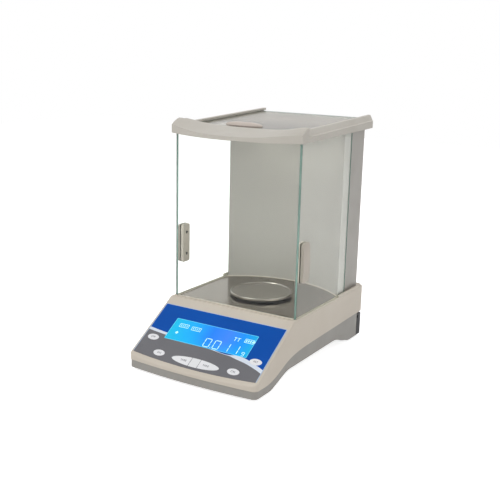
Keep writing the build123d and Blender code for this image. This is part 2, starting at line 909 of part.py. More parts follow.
membrane_top = film_proud - film_thick
with BuildPart() as switch_membrane:
    extrude(film_outline(0.0, membrane_top), amount=-membrane_thick)
    extrude(window_outline(0.15, membrane_top), amount=-membrane_thick, mode=Mode.SUBTRACT)
    for place in key_places.values():
        extrude(key_outline(place, 2 * key_gap, membrane_top), amount=-pocket_deep, mode=Mode.SUBTRACT)
    for side in (-1, 1):
        extrude(tare_outline(side, 2 * key_gap, membrane_top), amount=-pocket_deep, mode=Mode.SUBTRACT)

write(switch_membrane.part, "switch_membrane")

# Keys, each free to be pressed into a pocket of the switch membrane
key_top = film_proud + key_proud
for name, place in key_places.items():
    with BuildPart() as oval_key:
        extrude(key_outline(place, 0.0, membrane_top), amount=key_top - membrane_top)
        chamfer(oval_key.edges().sort_by(Axis((0, 0, 0), panel_plane.z_dir))[-1], key_bevel)
    write(oval_key.part, name)

for name, side in (("tare_key_left", -1), ("tare_key_right", 1)):
    with BuildPart() as tare_key:
        extrude(tare_outline(side, 0.0, membrane_top), amount=key_top - membrane_top)
    write(tare_key.part, name)

# Display
with BuildPart() as display_window:
    extrude(window_outline(0.0, -recess_deep), amount=recess_deep + film_proud - 0.05)

write(display_window.part, "display_window")

with BuildPart() as lcd_glass:
    extrude(window_outline(lcd_margin, lcd_top), amount=-lcd_thick)

write(lcd_glass.part, "lcd_glass")

with BuildPart() as lcd_backlight:
    extrude(window_outline(lcd_margin, lcd_top - lcd_thick), amount=-light_thick)

write(lcd_backlight.part, "lcd_backlight")

with BuildPart() as display_board:
    with BuildSketch(panel_plane.offset(board_top)):
        with Locations((0, (board_low + board_high) / 2)):
            RectangleRounded(2 * board_half, board_high - board_low, board_corner)
        with Locations(*board_bosses):
            Circle(thin_hole, mode=Mode.SUBTRACT)
    extrude(amount=-board_thick)

write(display_board.part, "display_board")

with BuildPart() as display_screws:
    with BuildSketch(panel_plane.offset(board_top - board_thick)):
        with Locations(*board_bosses):
            Circle(thin_head)
    extrude(amount=-thin_head_high)
    with BuildSketch(panel_plane.offset(board_top - board_thick)):
        with Locations(*board_bosses):
            Circle(thin_hole)
    extrude(amount=display_screw_length)

write(display_screws.part, "display_screws")

# Rear panel with the power inlet and the serial port
panel_front_y = at(lower_depth) - lower_inset
panel_rear_y = panel_front_y + rear_panel_depth
panel_middle = (rear_panel_low + rear_panel_high) / 2
panel_height = rear_panel_high - rear_panel_low
panel_screw_place = (panel_front_y + panel_screw_in, rear_panel_high - panel_screw_down)
serial_rear_y = panel_rear_y + 4.6
with BuildPart() as rear_panel:
    with BuildSketch(Plane.XZ.offset(-panel_front_y)):
        with Locations((0, panel_middle)):
            RectangleRounded(2 * rear_panel_half, panel_height, window_corner)
    extrude(amount=-rear_panel_depth)
    with BuildSketch(Plane.XZ.offset(-panel_front_y)):
        with Locations((0, panel_middle)):
            RectangleRounded(
                2 * (rear_panel_half - rear_panel_wall), panel_height - 2 * rear_panel_wall, 1.0
            )
    extrude(amount=-(rear_panel_depth - rear_panel_wall), mode=Mode.SUBTRACT)
    # Upright grooves on both sides
    with BuildSketch(Plane.XY.offset(rear_panel_low)):
        for side in (-1, 1):
            with Locations((side * rear_panel_half, panel_front_y + rear_panel_depth / 2)):
                with GridLocations(0, groove_pitch, 1, groove_count):
                    Rectangle(groove_width, groove_width)
    extrude(amount=panel_height - 8.0, mode=Mode.SUBTRACT)
    with BuildSketch(Plane.XZ.offset(-panel_rear_y)):
        with Locations((serial_x, panel_middle)):
            RectangleRounded(2 * serial_half, serial_high, serial_corner)
        with Locations((jack_x, panel_middle)):
            Circle(jack_radius)
    extrude(amount=rear_panel_wall + 1.0, mode=Mode.SUBTRACT)
    with BuildSketch(Plane.YZ):
        with Locations(panel_screw_place):
            Circle(boss_hole)
    extrude(amount=rear_panel_half + 5, both=True, mode=Mode.SUBTRACT)

write(rear_panel.part, "rear_panel")

with BuildPart() as serial_port:
    with BuildSketch(Plane.XZ.offset(-panel_rear_y)):
        with Locations((serial_x, panel_middle)):
            RectangleRounded(*serial_flange, window_corner)
    extrude(amount=-serial_flange_thick)
    with BuildSketch(Plane.XZ.offset(-serial_rear_y)):
        with Locations((serial_x, panel_middle)):
            RectangleRounded(2 * serial_half, serial_high, serial_corner)
    extrude(amount=serial_length)
    with BuildSketch(Plane.XZ.offset(-serial_rear_y)):
        with Locations((serial_x, panel_middle)):
            RectangleRounded(
                2 * (serial_half - serial_wall),
                serial_high - 2 * serial_wall,
                serial_corner - serial_wall / 2,
            )
    extrude(amount=serial_deep, mode=Mode.SUBTRACT)
    # Five pins over four
    with BuildSketch(Plane.XZ.offset(-serial_rear_y + serial_deep + 0.4)):
        for count, row in ((5, pin_rows / 2), (4, -pin_rows / 2)):
            with Locations((serial_x, panel_middle + row)):
                with GridLocations(pin_pitch, 0, count, 1):
                    Circle(pin_radius)
    extrude(amount=-pin_length)

write(serial_port.part, "serial_port")

with BuildPart() as power_jack:
    with BuildSketch(Plane.XZ.offset(-panel_rear_y)):
        with Locations((jack_x, panel_middle)):
            Circle(jack_radius + jack_collar)
    extrude(amount=-jack_collar_thick)
    with BuildSketch(Plane.XZ.offset(-panel_rear_y)):
        with Locations((jack_x, panel_middle)):
            Circle(jack_radius)
    extrude(amount=jack_length)
    with BuildSketch(Plane.XZ.offset(-panel_rear_y - jack_collar_thick)):
        with Locations((jack_x, panel_middle)):
            Circle(jack_bore)
            Circle(jack_pin, mode=Mode.SUBTRACT)
    extrude(amount=jack_deep, mode=Mode.SUBTRACT)

write(power_jack.part, "power_jack")

with BuildPart() as panel_screws:
    for side in (-1, 1):
        with BuildSketch(Plane.YZ.offset(side * rear_panel_half)):
            with Locations(panel_screw_place):
                Circle(panel_screw_head)
        extrude(amount=side * panel_head_high)
        with BuildSketch(Plane.YZ.offset(side * rear_panel_half)):
            with Locations(panel_screw_place):
                Circle(boss_hole)
        extrude(amount=-side * panel_screw_length)

write(panel_screws.part, "panel_screws")

# Six screws that join the casings from below
with BuildPart() as case_screws:
    for x, y, seat in case_screw_seats:
        with BuildSketch(Plane.XY.offset(seat)):
            with Locations((x, y)):
                Circle(case_head)
        extrude(amount=-case_head_high)
        with BuildSketch(Plane.XY.offset(seat)):
            with Locations((x, y)):
                Circle(boss_hole)
        extrude(amount=case_screw_length)

write(case_screws.part, "case_screws")

# Fixed rubber feet at the front
for name, side in (("front_left_foot", -1), ("front_right_foot", 1)):
    centre = (side * front_foot[0], at(front_foot[1]))
    with BuildPart() as front_rubber:
        with BuildSketch(Plane.XY):
            with Locations(centre):
                Circle(foot_radius - 1.0)
        extrude(amount=foot_gap)
        chamfer(front_rubber.edges().group_by(Axis.Z)[0], 0.8)
        with BuildSketch(Plane.XY.offset(foot_gap)):
            with Locations(centre):
                Circle(foot_peg)
        extrude(amount=wall + 1.0)
    write(front_rubber.part, name)

# Levelling feet at the rear: a pad on the table and a knurled wheel with its stud
for name, side in (("rear_left", -1), ("rear_right", 1)):
    centre = (side * rear_foot[0], at(rear_foot[1]))
    with BuildPart() as foot_pad:
        with BuildSketch(Plane.XY):
            with Locations(centre):
                Circle(foot_radius - 1.5)
        extrude(amount=pad_thick)
        chamfer(foot_pad.edges().group_by(Axis.Z)[0], 0.4)
        with BuildSketch(Plane.XY.offset(pad_thick)):
            with Locations(centre):
                Circle(pad_pin)
        extrude(amount=pad_pin_high)
    write(foot_pad.part, name + "_pad")
    with BuildPart() as foot_stud:
        with BuildSketch(Plane.XY.offset(pad_thick + pad_gap)):
            with Locations(centre):
                Circle(foot_radius)
                with PolarLocations(foot_radius + knurl_radius / 2, knurl_count):
                    Circle(knurl_radius, mode=Mode.SUBTRACT)
        extrude(amount=foot_gap - wheel_gap - pad_thick - pad_gap)
        with BuildSketch(Plane.XY.offset(foot_gap - wheel_gap)):
            with Locations(centre):
                Circle(stud_radius)
        extrude(amount=stud_length)
        with BuildSketch(Plane.XY.offset(pad_thick)):
            with Locations(centre):
                Circle(pad_pin + hub_fit)
        extrude(amount=pad_pin_high + 0.2, mode=Mode.SUBTRACT)
    write(foot_stud.part, name + "_stud")

# Side doors
door_low = rim_height - channel_depth + slide_gap
door_high = glass_top - pane_fit
door_centre = (at((door_front + door_rear) / 2), (door_low + door_high) / 2)
grip_screw_places = [
    (at(grip_screw_back), grip_middle - grip_screw_spread),
    (at(grip_screw_back), grip_middle + grip_screw_spread),
]
grip_y = at(grip_start + grip_length / 2)
outer_x = door_inner_x + glass_thick

with BuildPart() as right_door_glass:
    with BuildSketch(Plane.YZ.offset(door_inner_x)) as pane:
        with Locations(door_centre):
            Rectangle(door_rear - door_front, door_high - door_low)
        fillet(pane.vertices(), door_corner)
        with Locations(*grip_screw_places):
            Circle(grip_screw_radius, mode=Mode.SUBTRACT)
    extrude(amount=glass_thick)

with BuildPart() as right_grip:
    with BuildSketch(Plane.XZ.offset(-grip_y)):
        with BuildLine():
            bow = ThreePointArc(
                (outer_x + grip_ends, grip_low),
                (outer_x + grip_bulge, grip_middle),
                (outer_x + grip_ends, grip_high),
            )
            Polyline(bow @ 1, (outer_x, grip_high), (outer_x, grip_low), bow @ 0)
        make_face()
    extrude(amount=grip_length / 2, both=True)
    fillet(right_grip.edges().filter_by(Axis.X), grip_corner)
    fillet(right_grip.faces().sort_by(Axis.X)[-1].edges(), grip_round)
    with BuildSketch(Plane.YZ.offset(outer_x)):
        with Locations(*grip_screw_places):
            Circle(grip_screw_radius)
    extrude(amount=grip_screw_deep, mode=Mode.SUBTRACT)

with BuildPart() as right_grip_plate:
    with BuildSketch(Plane.YZ.offset(door_inner_x)) as plate_face:
        with Locations((at(grip_start + grip_plate_length / 2), grip_middle)):
            RectangleRounded(grip_plate_length, grip_high - grip_low, grip_plate_corner)
    extrude(amount=-grip_plate_thick)
    fillet(right_grip_plate.faces().sort_by(Axis.X)[0].edges(), grip_round)
    with BuildSketch(Plane.YZ.offset(door_inner_x - grip_plate_thick)):
        with Locations(*grip_screw_places):
            Circle(grip_screw_radius)
    extrude(amount=grip_plate_thick, mode=Mode.SUBTRACT)
    with BuildSketch(Plane.YZ.offset(door_inner_x - grip_plate_thick)):
        with Locations(*grip_screw_places):
            Circle(grip_head)
    extrude(amount=grip_head_deep, mode=Mode.SUBTRACT)

with BuildPart() as right_grip_screws:
    with BuildSketch(Plane.YZ.offset(door_inner_x - grip_plate_thick + 1.2)):
        with Locations(*grip_screw_places):
            Circle(grip_head - 0.1)
    extrude(amount=0.2 - grip_head_deep)
    with BuildSketch(Plane.YZ.offset(door_inner_x - grip_plate_thick + 1.2)):
        with Locations(*grip_screw_places):
            Circle(grip_screw_radius)
    extrude(amount=grip_plate_thick - grip_head_deep + glass_thick + grip_screw_deep - 0.2)

with BuildPart() as left_door_glass:
    mirror(right_door_glass.part, about=Plane.YZ)

with BuildPart() as left_grip:
    mirror(right_grip.part, about=Plane.YZ)

with BuildPart() as left_grip_plate:
    mirror(right_grip_plate.part, about=Plane.YZ)

with BuildPart() as left_grip_screws:
    mirror(right_grip_screws.part, about=Plane.YZ)

write(right_door_glass.part, "right_door_glass")
write(right_grip.part, "right_grip")
write(right_grip_plate.part, "right_grip_plate")
write(right_grip_screws.part, "right_grip_screws")
write(left_door_glass.part, "left_door_glass")
write(left_grip.part, "left_grip")
write(left_grip_plate.part, "left_grip_plate")
write(left_grip_screws.part, "left_grip_screws")

# Top door
with BuildPart() as top_door_glass:
    with BuildSketch(roof_plane.offset(along_roof(lid_front))) as lid_section:
        with Locations((0, -lid_drop - lid_thick / 2)):
            Rectangle(2 * lid_half, lid_thick)
    extrude(amount=along_roof(lid_rear) - along_roof(lid_front))
    chamfer(top_door_glass.edges().filter_by(Axis.X), glass_bevel)

write(top_door_glass.part, "top_door_glass")

knob_plane = Plane(
    origin=(0, at(crest_ref), crest_height),
    x_dir=(1, 0, 0),
    z_dir=(0, -sin(radians(roof_pitch)), cos(radians(roof_pitch))),
).offset(-lid_drop)
with BuildPart() as top_door_knob:
    with BuildSketch(knob_plane):
        with Locations((knob_x, along_roof(knob_back))):
            Ellipse(*knob_radii)
    extrude(amount=knob_height, taper=knob_taper)
    fillet(top_door_knob.faces().sort_by(Axis.Z)[-1].edges(), knob_round)

write(top_door_knob.part, "top_door_knob")

# Pan post on the free end of the load cell
post_low = cell_base + cell_height + post_gap
with BuildPart() as pan_post:
    with BuildSketch(Plane.XZ.offset(-at(pan_back))):
        with BuildLine():
            Polyline(
                (0, post_low),
                (post_base, post_low),
                (post_base, post_low + post_flange),
                (post_radius, post_low + post_flange + 1.4),
                (post_radius, rim_height - 1.9),
                (post_tip, rim_height - 0.4),
                (post_tip, post_top - 0.4),
                (post_tip - 0.4, post_top),
                (0, post_top),
                close=True,
            )
        make_face()
    revolve(axis=Axis((0, at(pan_back), 0), (0, 0, 1)))

write(pan_post.part, "pan_post")

# Weighing pan: a flat plate inside a raised, turned-down rim
with BuildPart() as weighing_pan:
    with BuildSketch(Plane.XZ.offset(-at(pan_back))) as pan_section:
        with BuildLine():
            Polyline(
                (0, pan_floor),
                (pan_radius - pan_bead - 0.8, pan_floor),
                (pan_radius - pan_bead + 0.2, pan_height),
                (pan_radius - 0.8, pan_height),
                (pan_radius, pan_height - 0.8),
                (pan_radius, pan_height - pan_rim),
                (pan_radius - pan_sheet, pan_height - pan_rim),
                (pan_radius - pan_sheet, pan_height - pan_sheet - 0.4),
                (pan_radius - pan_bead + 0.6, pan_height - pan_sheet),
                (pan_radius - pan_bead - 0.2, pan_floor - pan_sheet),
                (0, pan_floor - pan_sheet),
                close=True,
            )
        make_face()
    revolve(axis=Axis((0, at(pan_back), 0), (0, 0, 1)))

write(weighing_pan.part, "weighing_pan")

with BuildPart() as pan_hub:
    with BuildSketch(Plane.XY.offset(hub_low)):
        with Locations((0, at(pan_back))):
            Circle(hub_radius)
    extrude(amount=pan_floor - pan_sheet - hub_low)
    with BuildSketch(Plane.XY.offset(hub_low)):
        with Locations((0, at(pan_back))):
            Circle(post_tip + hub_fit)
    extrude(amount=post_top + 0.1 - hub_low, mode=Mode.SUBTRACT)
    chamfer(pan_hub.edges().group_by(Axis.Z)[0].sort_by(SortBy.LENGTH)[-1], hub_bevel)

write(pan_hub.part, "pan_hub")
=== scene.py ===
import math

import bmesh
import bpy
from mathutils import Matrix, Vector


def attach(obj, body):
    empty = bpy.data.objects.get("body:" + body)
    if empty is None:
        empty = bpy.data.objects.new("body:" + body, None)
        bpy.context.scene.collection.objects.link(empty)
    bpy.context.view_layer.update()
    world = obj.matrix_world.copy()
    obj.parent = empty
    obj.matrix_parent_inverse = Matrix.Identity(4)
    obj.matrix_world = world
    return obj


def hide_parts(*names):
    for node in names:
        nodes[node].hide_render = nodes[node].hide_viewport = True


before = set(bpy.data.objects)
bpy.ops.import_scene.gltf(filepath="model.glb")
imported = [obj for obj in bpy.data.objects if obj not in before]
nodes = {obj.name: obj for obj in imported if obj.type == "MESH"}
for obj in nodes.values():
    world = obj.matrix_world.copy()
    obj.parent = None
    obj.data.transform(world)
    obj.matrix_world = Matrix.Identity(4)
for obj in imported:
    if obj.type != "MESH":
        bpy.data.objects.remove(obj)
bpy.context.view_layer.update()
mm = 0.001
print("frame loaded,", len(nodes), "nodes")


# Colours are written as seen on a screen and turned to linear here
def tone(red, green, blue, alpha=1.0):
    def toLinear(value):
        # the usual screen curve, with its short straight foot
        value = value / 255
        return value / 12.92 if value <= 0.04045 else ((value + 0.055) / 1.055) ** 2.4

    return (toLinear(red), toLinear(green), toLinear(blue), alpha)


# The sloped keypad, in millimetres: x runs across it, v up the slope, from the film's lower edge
panel = {"slope": math.radians(31.931), "frontY": -169.3, "lipZ": 24.7, "filmStart": 6.2}
slopeCos, slopeSin = math.cos(panel["slope"]), math.sin(panel["slope"])
panelOrigin = Vector((
    0,
    panel["frontY"] + panel["filmStart"] * slopeCos,
    panel["lipZ"] + panel["filmStart"] * slopeSin,
)) * mm
panelUp = Vector((0, slopeCos, slopeSin))
panelOut = Vector((0, -slopeSin, slopeCos))
panelTurn = Matrix((Vector((1, 0, 0)), panelUp, panelOut)).transposed().to_4x4()
panelPlace = Matrix.Translation(panelOrigin) @ panelTurn


# Node tree helpers
def wire(tree, kind, inputs=None, **settings):
    node = tree.nodes.new(kind)
    for key, value in settings.items():
        setattr(node, key, value)
    for key, value in (inputs or {}).items():
        if isinstance(value, bpy.types.NodeSocket):
            tree.links.new(value, node.inputs[key])
        else:
            node.inputs[key].default_value = value
    return node


def math1(tree, operation, first, second=None, third=None):
    inputs = {0: first}
    if second is not None:
        inputs[1] = second
    if third is not None:
        inputs[2] = third
    return wire(tree, "ShaderNodeMath", inputs, operation=operation).outputs[0]


def blendColor(tree, amount, first, second):
    node = wire(tree, "ShaderNodeMix", {0: amount, 6: first, 7: second}, data_type="RGBA")
    return node.outputs[2]


def newGroup(name, inputs, outputs):
    group = bpy.data.node_groups.new(name, "ShaderNodeTree")
    for label, kind, value in inputs:
        socket = group.interface.new_socket(label, in_out="INPUT", socket_type="NodeSocket" + kind)
        if value is not None:
            socket.default_value = value
    for label, kind in outputs:
        group.interface.new_socket(label, in_out="OUTPUT", socket_type="NodeSocket" + kind)
    return group, group.nodes.new("NodeGroupInput"), group.nodes.new("NodeGroupOutput")


# Fine moulded grain: a height for bump and a mask for sheen
grainLook = {"scale": 2500.0, "softness": 0.5, "detail": 3.0, "broadScale": 38.0, "broadDetail": 4.0}


def makeGrainGroup(look):
    group, source, sink = newGroup(
        "mouldedGrain",
        [("Vector", "Vector", None), ("Scale", "Float", look["scale"]), ("Softness", "Float", look["softness"])],
        [("Height", "Float"), ("Mask", "Float")],
    )
    vector, scale, softness = (source.outputs[label] for label in ("Vector", "Scale", "Softness"))
    cells = wire(group, "ShaderNodeTexVoronoi", {"Vector": vector, "Scale": scale}, feature="SMOOTH_F1")
    fine = wire(group, "ShaderNodeTexNoise", {"Vector": vector, "Scale": scale, "Detail": look["detail"]})
    mixed = wire(group, "ShaderNodeMix", {0: softness, 2: cells.outputs["Distance"], 3: fine.outputs[0]})
    broad = wire(group, "ShaderNodeTexNoise", {"Vector": vector, "Scale": look["broadScale"],
                                              "Detail": look["broadDetail"]})
    group.links.new(mixed.outputs[0], sink.inputs["Height"])
    group.links.new(broad.outputs[0], sink.inputs["Mask"])
    return group


# Slow drift of a colour over a surface, with dust in fine specks
driftLook = {
    "slowScale": 9.0, "slowDetail": 5.0, "slowRoughness": 0.6, "slowRange": (0.35, 0.7),
    "speckScale": 900.0, "speckDetail": 1.0, "speckRange": (0.62, 0.78),
}


def makeDriftGroup(look):
    group, source, sink = newGroup(
        "toneDrift",
        [("Vector", "Vector", None), ("Color", "Color", (0.8, 0.8, 0.8, 1)),
         ("Shade", "Color", (0.6, 0.6, 0.6, 1)), ("Amount", "Float", 0.25), ("Specks", "Float", 0.1)],
        [("Color", "Color")],
    )
    vector, shade = source.outputs["Vector"], source.outputs["Shade"]
    slow = wire(group, "ShaderNodeTexNoise", {"Vector": vector, "Scale": look["slowScale"],
                                             "Detail": look["slowDetail"], "Roughness": look["slowRoughness"]})
    low, high = look["slowRange"]
    spread = wire(group, "ShaderNodeMapRange", {0: slow.outputs[0], 1: low, 2: high})
    amount = math1(group, "MULTIPLY", spread.outputs[0], source.outputs["Amount"])
    base = blendColor(group, amount, source.outputs["Color"], shade)
    speck = wire(group, "ShaderNodeTexNoise", {"Vector": vector, "Scale": look["speckScale"],
                                              "Detail": look["speckDetail"]})
    low, high = look["speckRange"]
    peaks = wire(group, "ShaderNodeMapRange", {0: speck.outputs[0], 1: low, 2: high})
    dots = math1(group, "MULTIPLY", peaks.outputs[0], source.outputs["Specks"])
    group.links.new(blendColor(group, dots, base, shade), sink.inputs["Color"])
    return group


# Lines left by a brush: the material stretches the coordinates along one direction
brushLook = {"scale": 60.0, "detail": 6.0, "roughness": 0.7, "broadScale": 4.0, "broadDetail": 2.0}


def makeBrushGroup(look):
    group, source, sink = newGroup(
        "brushLines",
        [("Vector", "Vector", None), ("Scale", "Float", look["scale"])],
        [("Height", "Float"), ("Sheen", "Float")],
    )
    vector = source.outputs["Vector"]
    lines = wire(group, "ShaderNodeTexNoise", {"Vector": vector, "Scale": source.outputs["Scale"],
                                              "Detail": look["detail"], "Roughness": look["roughness"]})
    broad = wire(group, "ShaderNodeTexNoise", {"Vector": vector, "Scale": look["broadScale"],
                                              "Detail": look["broadDetail"]})
    group.links.new(lines.outputs[0], sink.inputs["Height"])
    group.links.new(broad.outputs[0], sink.inputs["Sheen"])
    return group


grainGroup = makeGrainGroup(grainLook)
driftGroup = makeDriftGroup(driftLook)
brushGroup = makeBrushGroup(brushLook)

# The stretch of a noise's values that sheen and brush lines use
noiseRange = (0.3, 0.7)


def newMaterial(name):
    material = bpy.data.materials.new(name)
    material.use_nodes = True
    tree = material.node_tree
    tree.nodes.clear()
    output = tree.nodes.new("ShaderNodeOutputMaterial")
    shader = tree.nodes.new("ShaderNodeBsdfPrincipled")
    tree.links.new(shader.outputs[0], output.inputs[0])
    place = tree.nodes.new("ShaderNodeTexCoord").outputs["Object"]
    return material, tree, shader, place


def useGroup(tree, group, inputs):
    node = tree.nodes.new("ShaderNodeGroup")
    node.node_tree = group
    for key, value in inputs.items():
        if isinstance(value, bpy.types.NodeSocket):
            tree.links.new(value, node.inputs[key])
        else:
            node.inputs[key].default_value = value
    return node


def setSheen(tree, shader, source, low, high):
    first, last = noiseRange
    spread = wire(tree, "ShaderNodeMapRange", {0: source, 1: first, 2: last, 3: low, 4: high})
    tree.links.new(spread.outputs[0], shader.inputs["Roughness"])


def addBump(tree, shader, height, strength, distance):
    bump = wire(tree, "ShaderNodeBump", {"Height": height, "Strength": strength, "Distance": distance})
    tree.links.new(bump.outputs[0], shader.inputs["Normal"])


# What a plastic has unless its own look says otherwise
plasticLook = {"drift": 0.35, "specks": 0.12, "grain": 1600.0, "softness": 0.5, "bump": 0.25, "depth": 0.00012,
               "specular": 0.4}


def plastic(name, ownLook):
    look = {**plasticLook, **ownLook}
    material, tree, shader, place = newMaterial(name)
    drift = useGroup(tree, driftGroup, {"Vector": place, "Color": look["color"], "Shade": look["shade"],
                                        "Amount": look["drift"], "Specks": look["specks"]})
    tree.links.new(drift.outputs[0], shader.inputs["Base Color"])
    grain = useGroup(tree, grainGroup, {"Vector": place, "Scale": look["grain"], "Softness": look["softness"]})
    low, high = look["roughness"]
    setSheen(tree, shader, grain.outputs["Mask"], low, high)
    addBump(tree, shader, grain.outputs["Height"], look["bump"], look["depth"])
    shader.inputs["Specular IOR Level"].default_value = look["specular"]
    return material


metalLook = {"bump": 0.15, "depth": 0.00004}


def brushedMetal(name, ownLook):
    look = {**metalLook, **ownLook}
    material, tree, shader, place = newMaterial(name)
    shader.inputs["Metallic"].default_value = 1.0
    if look.get("centre"):
        # rings round an upright axis: the radius and height steer the noise
        moved = wire(tree, "ShaderNodeMapping", {0: place, 1: tuple(-value for value in look["centre"])})
        parts = wire(tree, "ShaderNodeSeparateXYZ", {0: moved.outputs[0]})
        flat = wire(tree, "ShaderNodeCombineXYZ", {0: parts.outputs[0], 1: parts.outputs[1]})
        radius = wire(tree, "ShaderNodeVectorMath", {0: flat.outputs[0]}, operation="LENGTH").outputs["Value"]
        course = wire(tree, "ShaderNodeCombineXYZ", {0: radius, 1: parts.outputs[2]}).outputs[0]
    else:
        course = wire(tree, "ShaderNodeMapping", {0: place, 3: look["stretch"]}).outputs[0]
    brush = useGroup(tree, brushGroup, {"Vector": course, "Scale": look["lines"]})
    first, last = noiseRange
    spread = wire(tree, "ShaderNodeMapRange", {0: brush.outputs["Height"], 1: first, 2: last})
    tinted = blendColor(tree, spread.outputs[0], look["color"], look["shade"])
    tree.links.new(tinted, shader.inputs["Base Color"])
    low, high = look["roughness"]
    setSheen(tree, shader, brush.outputs["Sheen"], low, high)
    addBump(tree, shader, brush.outputs["Height"], look["bump"], look["depth"])
    return material


# Clear plate glass: its faces stay clear and its cut edges are green
def plateGlass(name, look):
    material, tree, shader, place = newMaterial(name)
    normal = wire(tree, "ShaderNodeNewGeometry").outputs["Normal"]
    across = wire(tree, "ShaderNodeVectorMath", {0: normal, 1: look["facing"]}, operation="DOT_PRODUCT")
    edge = math1(tree, "LESS_THAN", math1(tree, "ABSOLUTE", across.outputs["Value"]), look["edgeLimit"])
    smear = wire(tree, "ShaderNodeTexNoise", {"Vector": place, "Scale": look["smearScale"],
                                             "Detail": look["smearDetail"]})
    clear = blendColor(tree, smear.outputs[0], look["clear"], look["haze"])
    tree.links.new(blendColor(tree, edge, clear, look["edge"]), shader.inputs["Base Color"])
    first, last = look["smearRange"]
    spread = wire(tree, "ShaderNodeMapRange", {0: smear.outputs[0], 1: first, 2: last, 4: look["smearRough"]})
    rough = math1(tree, "MULTIPLY_ADD", edge, look["edgeRough"],
                  math1(tree, "ADD", spread.outputs[0], look["frost"]))
    tree.links.new(rough, shader.inputs["Roughness"])
    shader.inputs["Transmission Weight"].default_value = 1.0
    shader.inputs["IOR"].default_value = look["ior"]
    # light passes straight through, so that the chamber is not dark
    output = tree.nodes["Material Output"]
    lightPath = tree.nodes.new("ShaderNodeLightPath")
    through = wire(tree, "ShaderNodeBsdfTransparent", {0: look["shadow"]})
    both = wire(tree, "ShaderNodeMixShader", {0: lightPath.outputs["Is Shadow Ray"], 1: shader.outputs[0],
                                              2: through.outputs[0]})
    tree.links.new(both.outputs[0], output.inputs[0])
    return material


def dress(nodeName, material):
    mesh = nodes[nodeName].data
    mesh.materials.clear()
    mesh.materials.append(material)


# Plastics
plastics = {
    "creamShell": {"color": tone(205, 196, 183), "shade": tone(190, 180, 166), "roughness": (0.42, 0.55)},
    "greyShell": {"color": tone(154, 151, 146), "shade": tone(141, 138, 133), "roughness": (0.45, 0.58)},
    "columnShell": {"color": tone(165, 161, 155), "shade": tone(154, 150, 144), "roughness": (0.35, 0.5)},
    "roofShell": {"color": tone(190, 185, 176), "shade": tone(178, 173, 164), "roughness": (0.42, 0.55)},
    "gripShell": {"color": tone(183, 174, 162), "shade": tone(169, 160, 148), "roughness": (0.35, 0.5)},
    # the knob is the case's cream plastic; its darker, pinker tone is painted shade
    "shadedKnobShell": {"color": tone(196, 184, 175), "shade": tone(182, 169, 160), "roughness": (0.35, 0.5)},
    "rearShell": {"color": tone(66, 66, 68), "shade": tone(48, 48, 50), "roughness": (0.45, 0.6), "bump": 0.35},
    "blackShell": {"color": tone(26, 26, 27), "shade": tone(40, 40, 41), "roughness": (0.4, 0.55)},
    "footRubber": {"color": tone(30, 30, 31), "shade": tone(52, 51, 50), "roughness": (0.7, 0.85),
                   "grain": 900.0, "specular": 0.25},
    "circuitBoard": {"color": tone(20, 92, 52), "shade": tone(14, 70, 40), "roughness": (0.3, 0.45)},
    "membraneFilm": {"color": tone(205, 205, 200), "shade": tone(190, 190, 186), "roughness": (0.4, 0.55)},
    "keyFilm": {"color": tone(236, 236, 239), "shade": tone(224, 224, 228), "roughness": (0.3, 0.42),
                "grain": 2600.0},
    "lightBox": {"color": tone(232, 236, 240), "shade": tone(214, 220, 226), "roughness": (0.4, 0.5)},
}
finish = {name: plastic(name, look) for name, look in plastics.items()}

# Metals
panShape = [vert.co for vert in nodes["weighing_pan"].data.vertices]
panCentre = (0, (min(spot.y for spot in panShape) + max(spot.y for spot in panShape)) / 2, 0)
metals = {
    "deckSteel": {"color": tone(152, 144, 133), "shade": tone(138, 130, 120), "roughness": (0.16, 0.24),
                  "stretch": (40.0, 1.0, 1.0), "lines": 12.0, "bump": 0.02},
    "panSteel": {"color": tone(186, 181, 173), "shade": tone(164, 159, 151), "roughness": (0.2, 0.3),
                 "centre": panCentre, "lines": 900.0, "bump": 0.12},
    "cellAlloy": {"color": tone(205, 205, 206), "shade": tone(188, 188, 190), "roughness": (0.3, 0.42),
                  "stretch": (1.0, 40.0, 1.0), "lines": 18.0},
    "castAlloy": {"color": tone(168, 168, 170), "shade": tone(150, 150, 152), "roughness": (0.45, 0.6),
                  "stretch": (1.0, 1.0, 1.0), "lines": 400.0, "bump": 0.3},
    "zincSteel": {"color": tone(190, 190, 188), "shade": tone(168, 168, 168), "roughness": (0.28, 0.4),
                  "stretch": (1.0, 1.0, 12.0), "lines": 120.0},
    "blackSteel": {"color": tone(44, 44, 46), "shade": tone(30, 30, 32), "roughness": (0.32, 0.45),
                   "stretch": (1.0, 1.0, 1.0), "lines": 300.0},
    "turnedSteel": {"color": tone(150, 150, 150), "shade": tone(128, 128, 128), "roughness": (0.3, 0.42),
                    "stretch": (1.0, 1.0, 30.0), "lines": 40.0},
}
finish.update({name: brushedMetal(name, look) for name, look in metals.items()})

# Glass
glassLook = {
    "clear": tone(254, 255, 254), "haze": tone(249, 252, 250), "edge": tone(150, 190, 172),
    "shadow": tone(240, 246, 243), "ior": 1.22, "frost": 0.0, "edgeLimit": 0.6, "edgeRough": 0.12,
    "smearScale": 14.0, "smearDetail": 3.0, "smearRange": (0.4, 0.8), "smearRough": 0.03,
}
finish["frontPane"] = plateGlass("frontPane", {**glassLook, "facing": (0, 1, 0)})
finish["sidePane"] = plateGlass("sidePane", {**glassLook, "facing": (1, 0, 0)})
finish["topPane"] = plateGlass("topPane", {
    **glassLook, "facing": (0, 0, 1), "frost": 0.16, "ior": 1.12,
    "clear": tone(212, 207, 201), "haze": tone(203, 198, 192),
})


# Panel coordinates in metres, for the printed film and the display
def panelPoint(tree, place):
    turned = wire(tree, "ShaderNodeMapping", {
        0: place,
        1: -(panelTurn.inverted() @ panelOrigin),
        2: (-panel["slope"], 0, 0),
    })
    parts = wire(tree, "ShaderNodeSeparateXYZ", {0: turned.outputs[0]})
    return parts.outputs[0], parts.outputs[1]


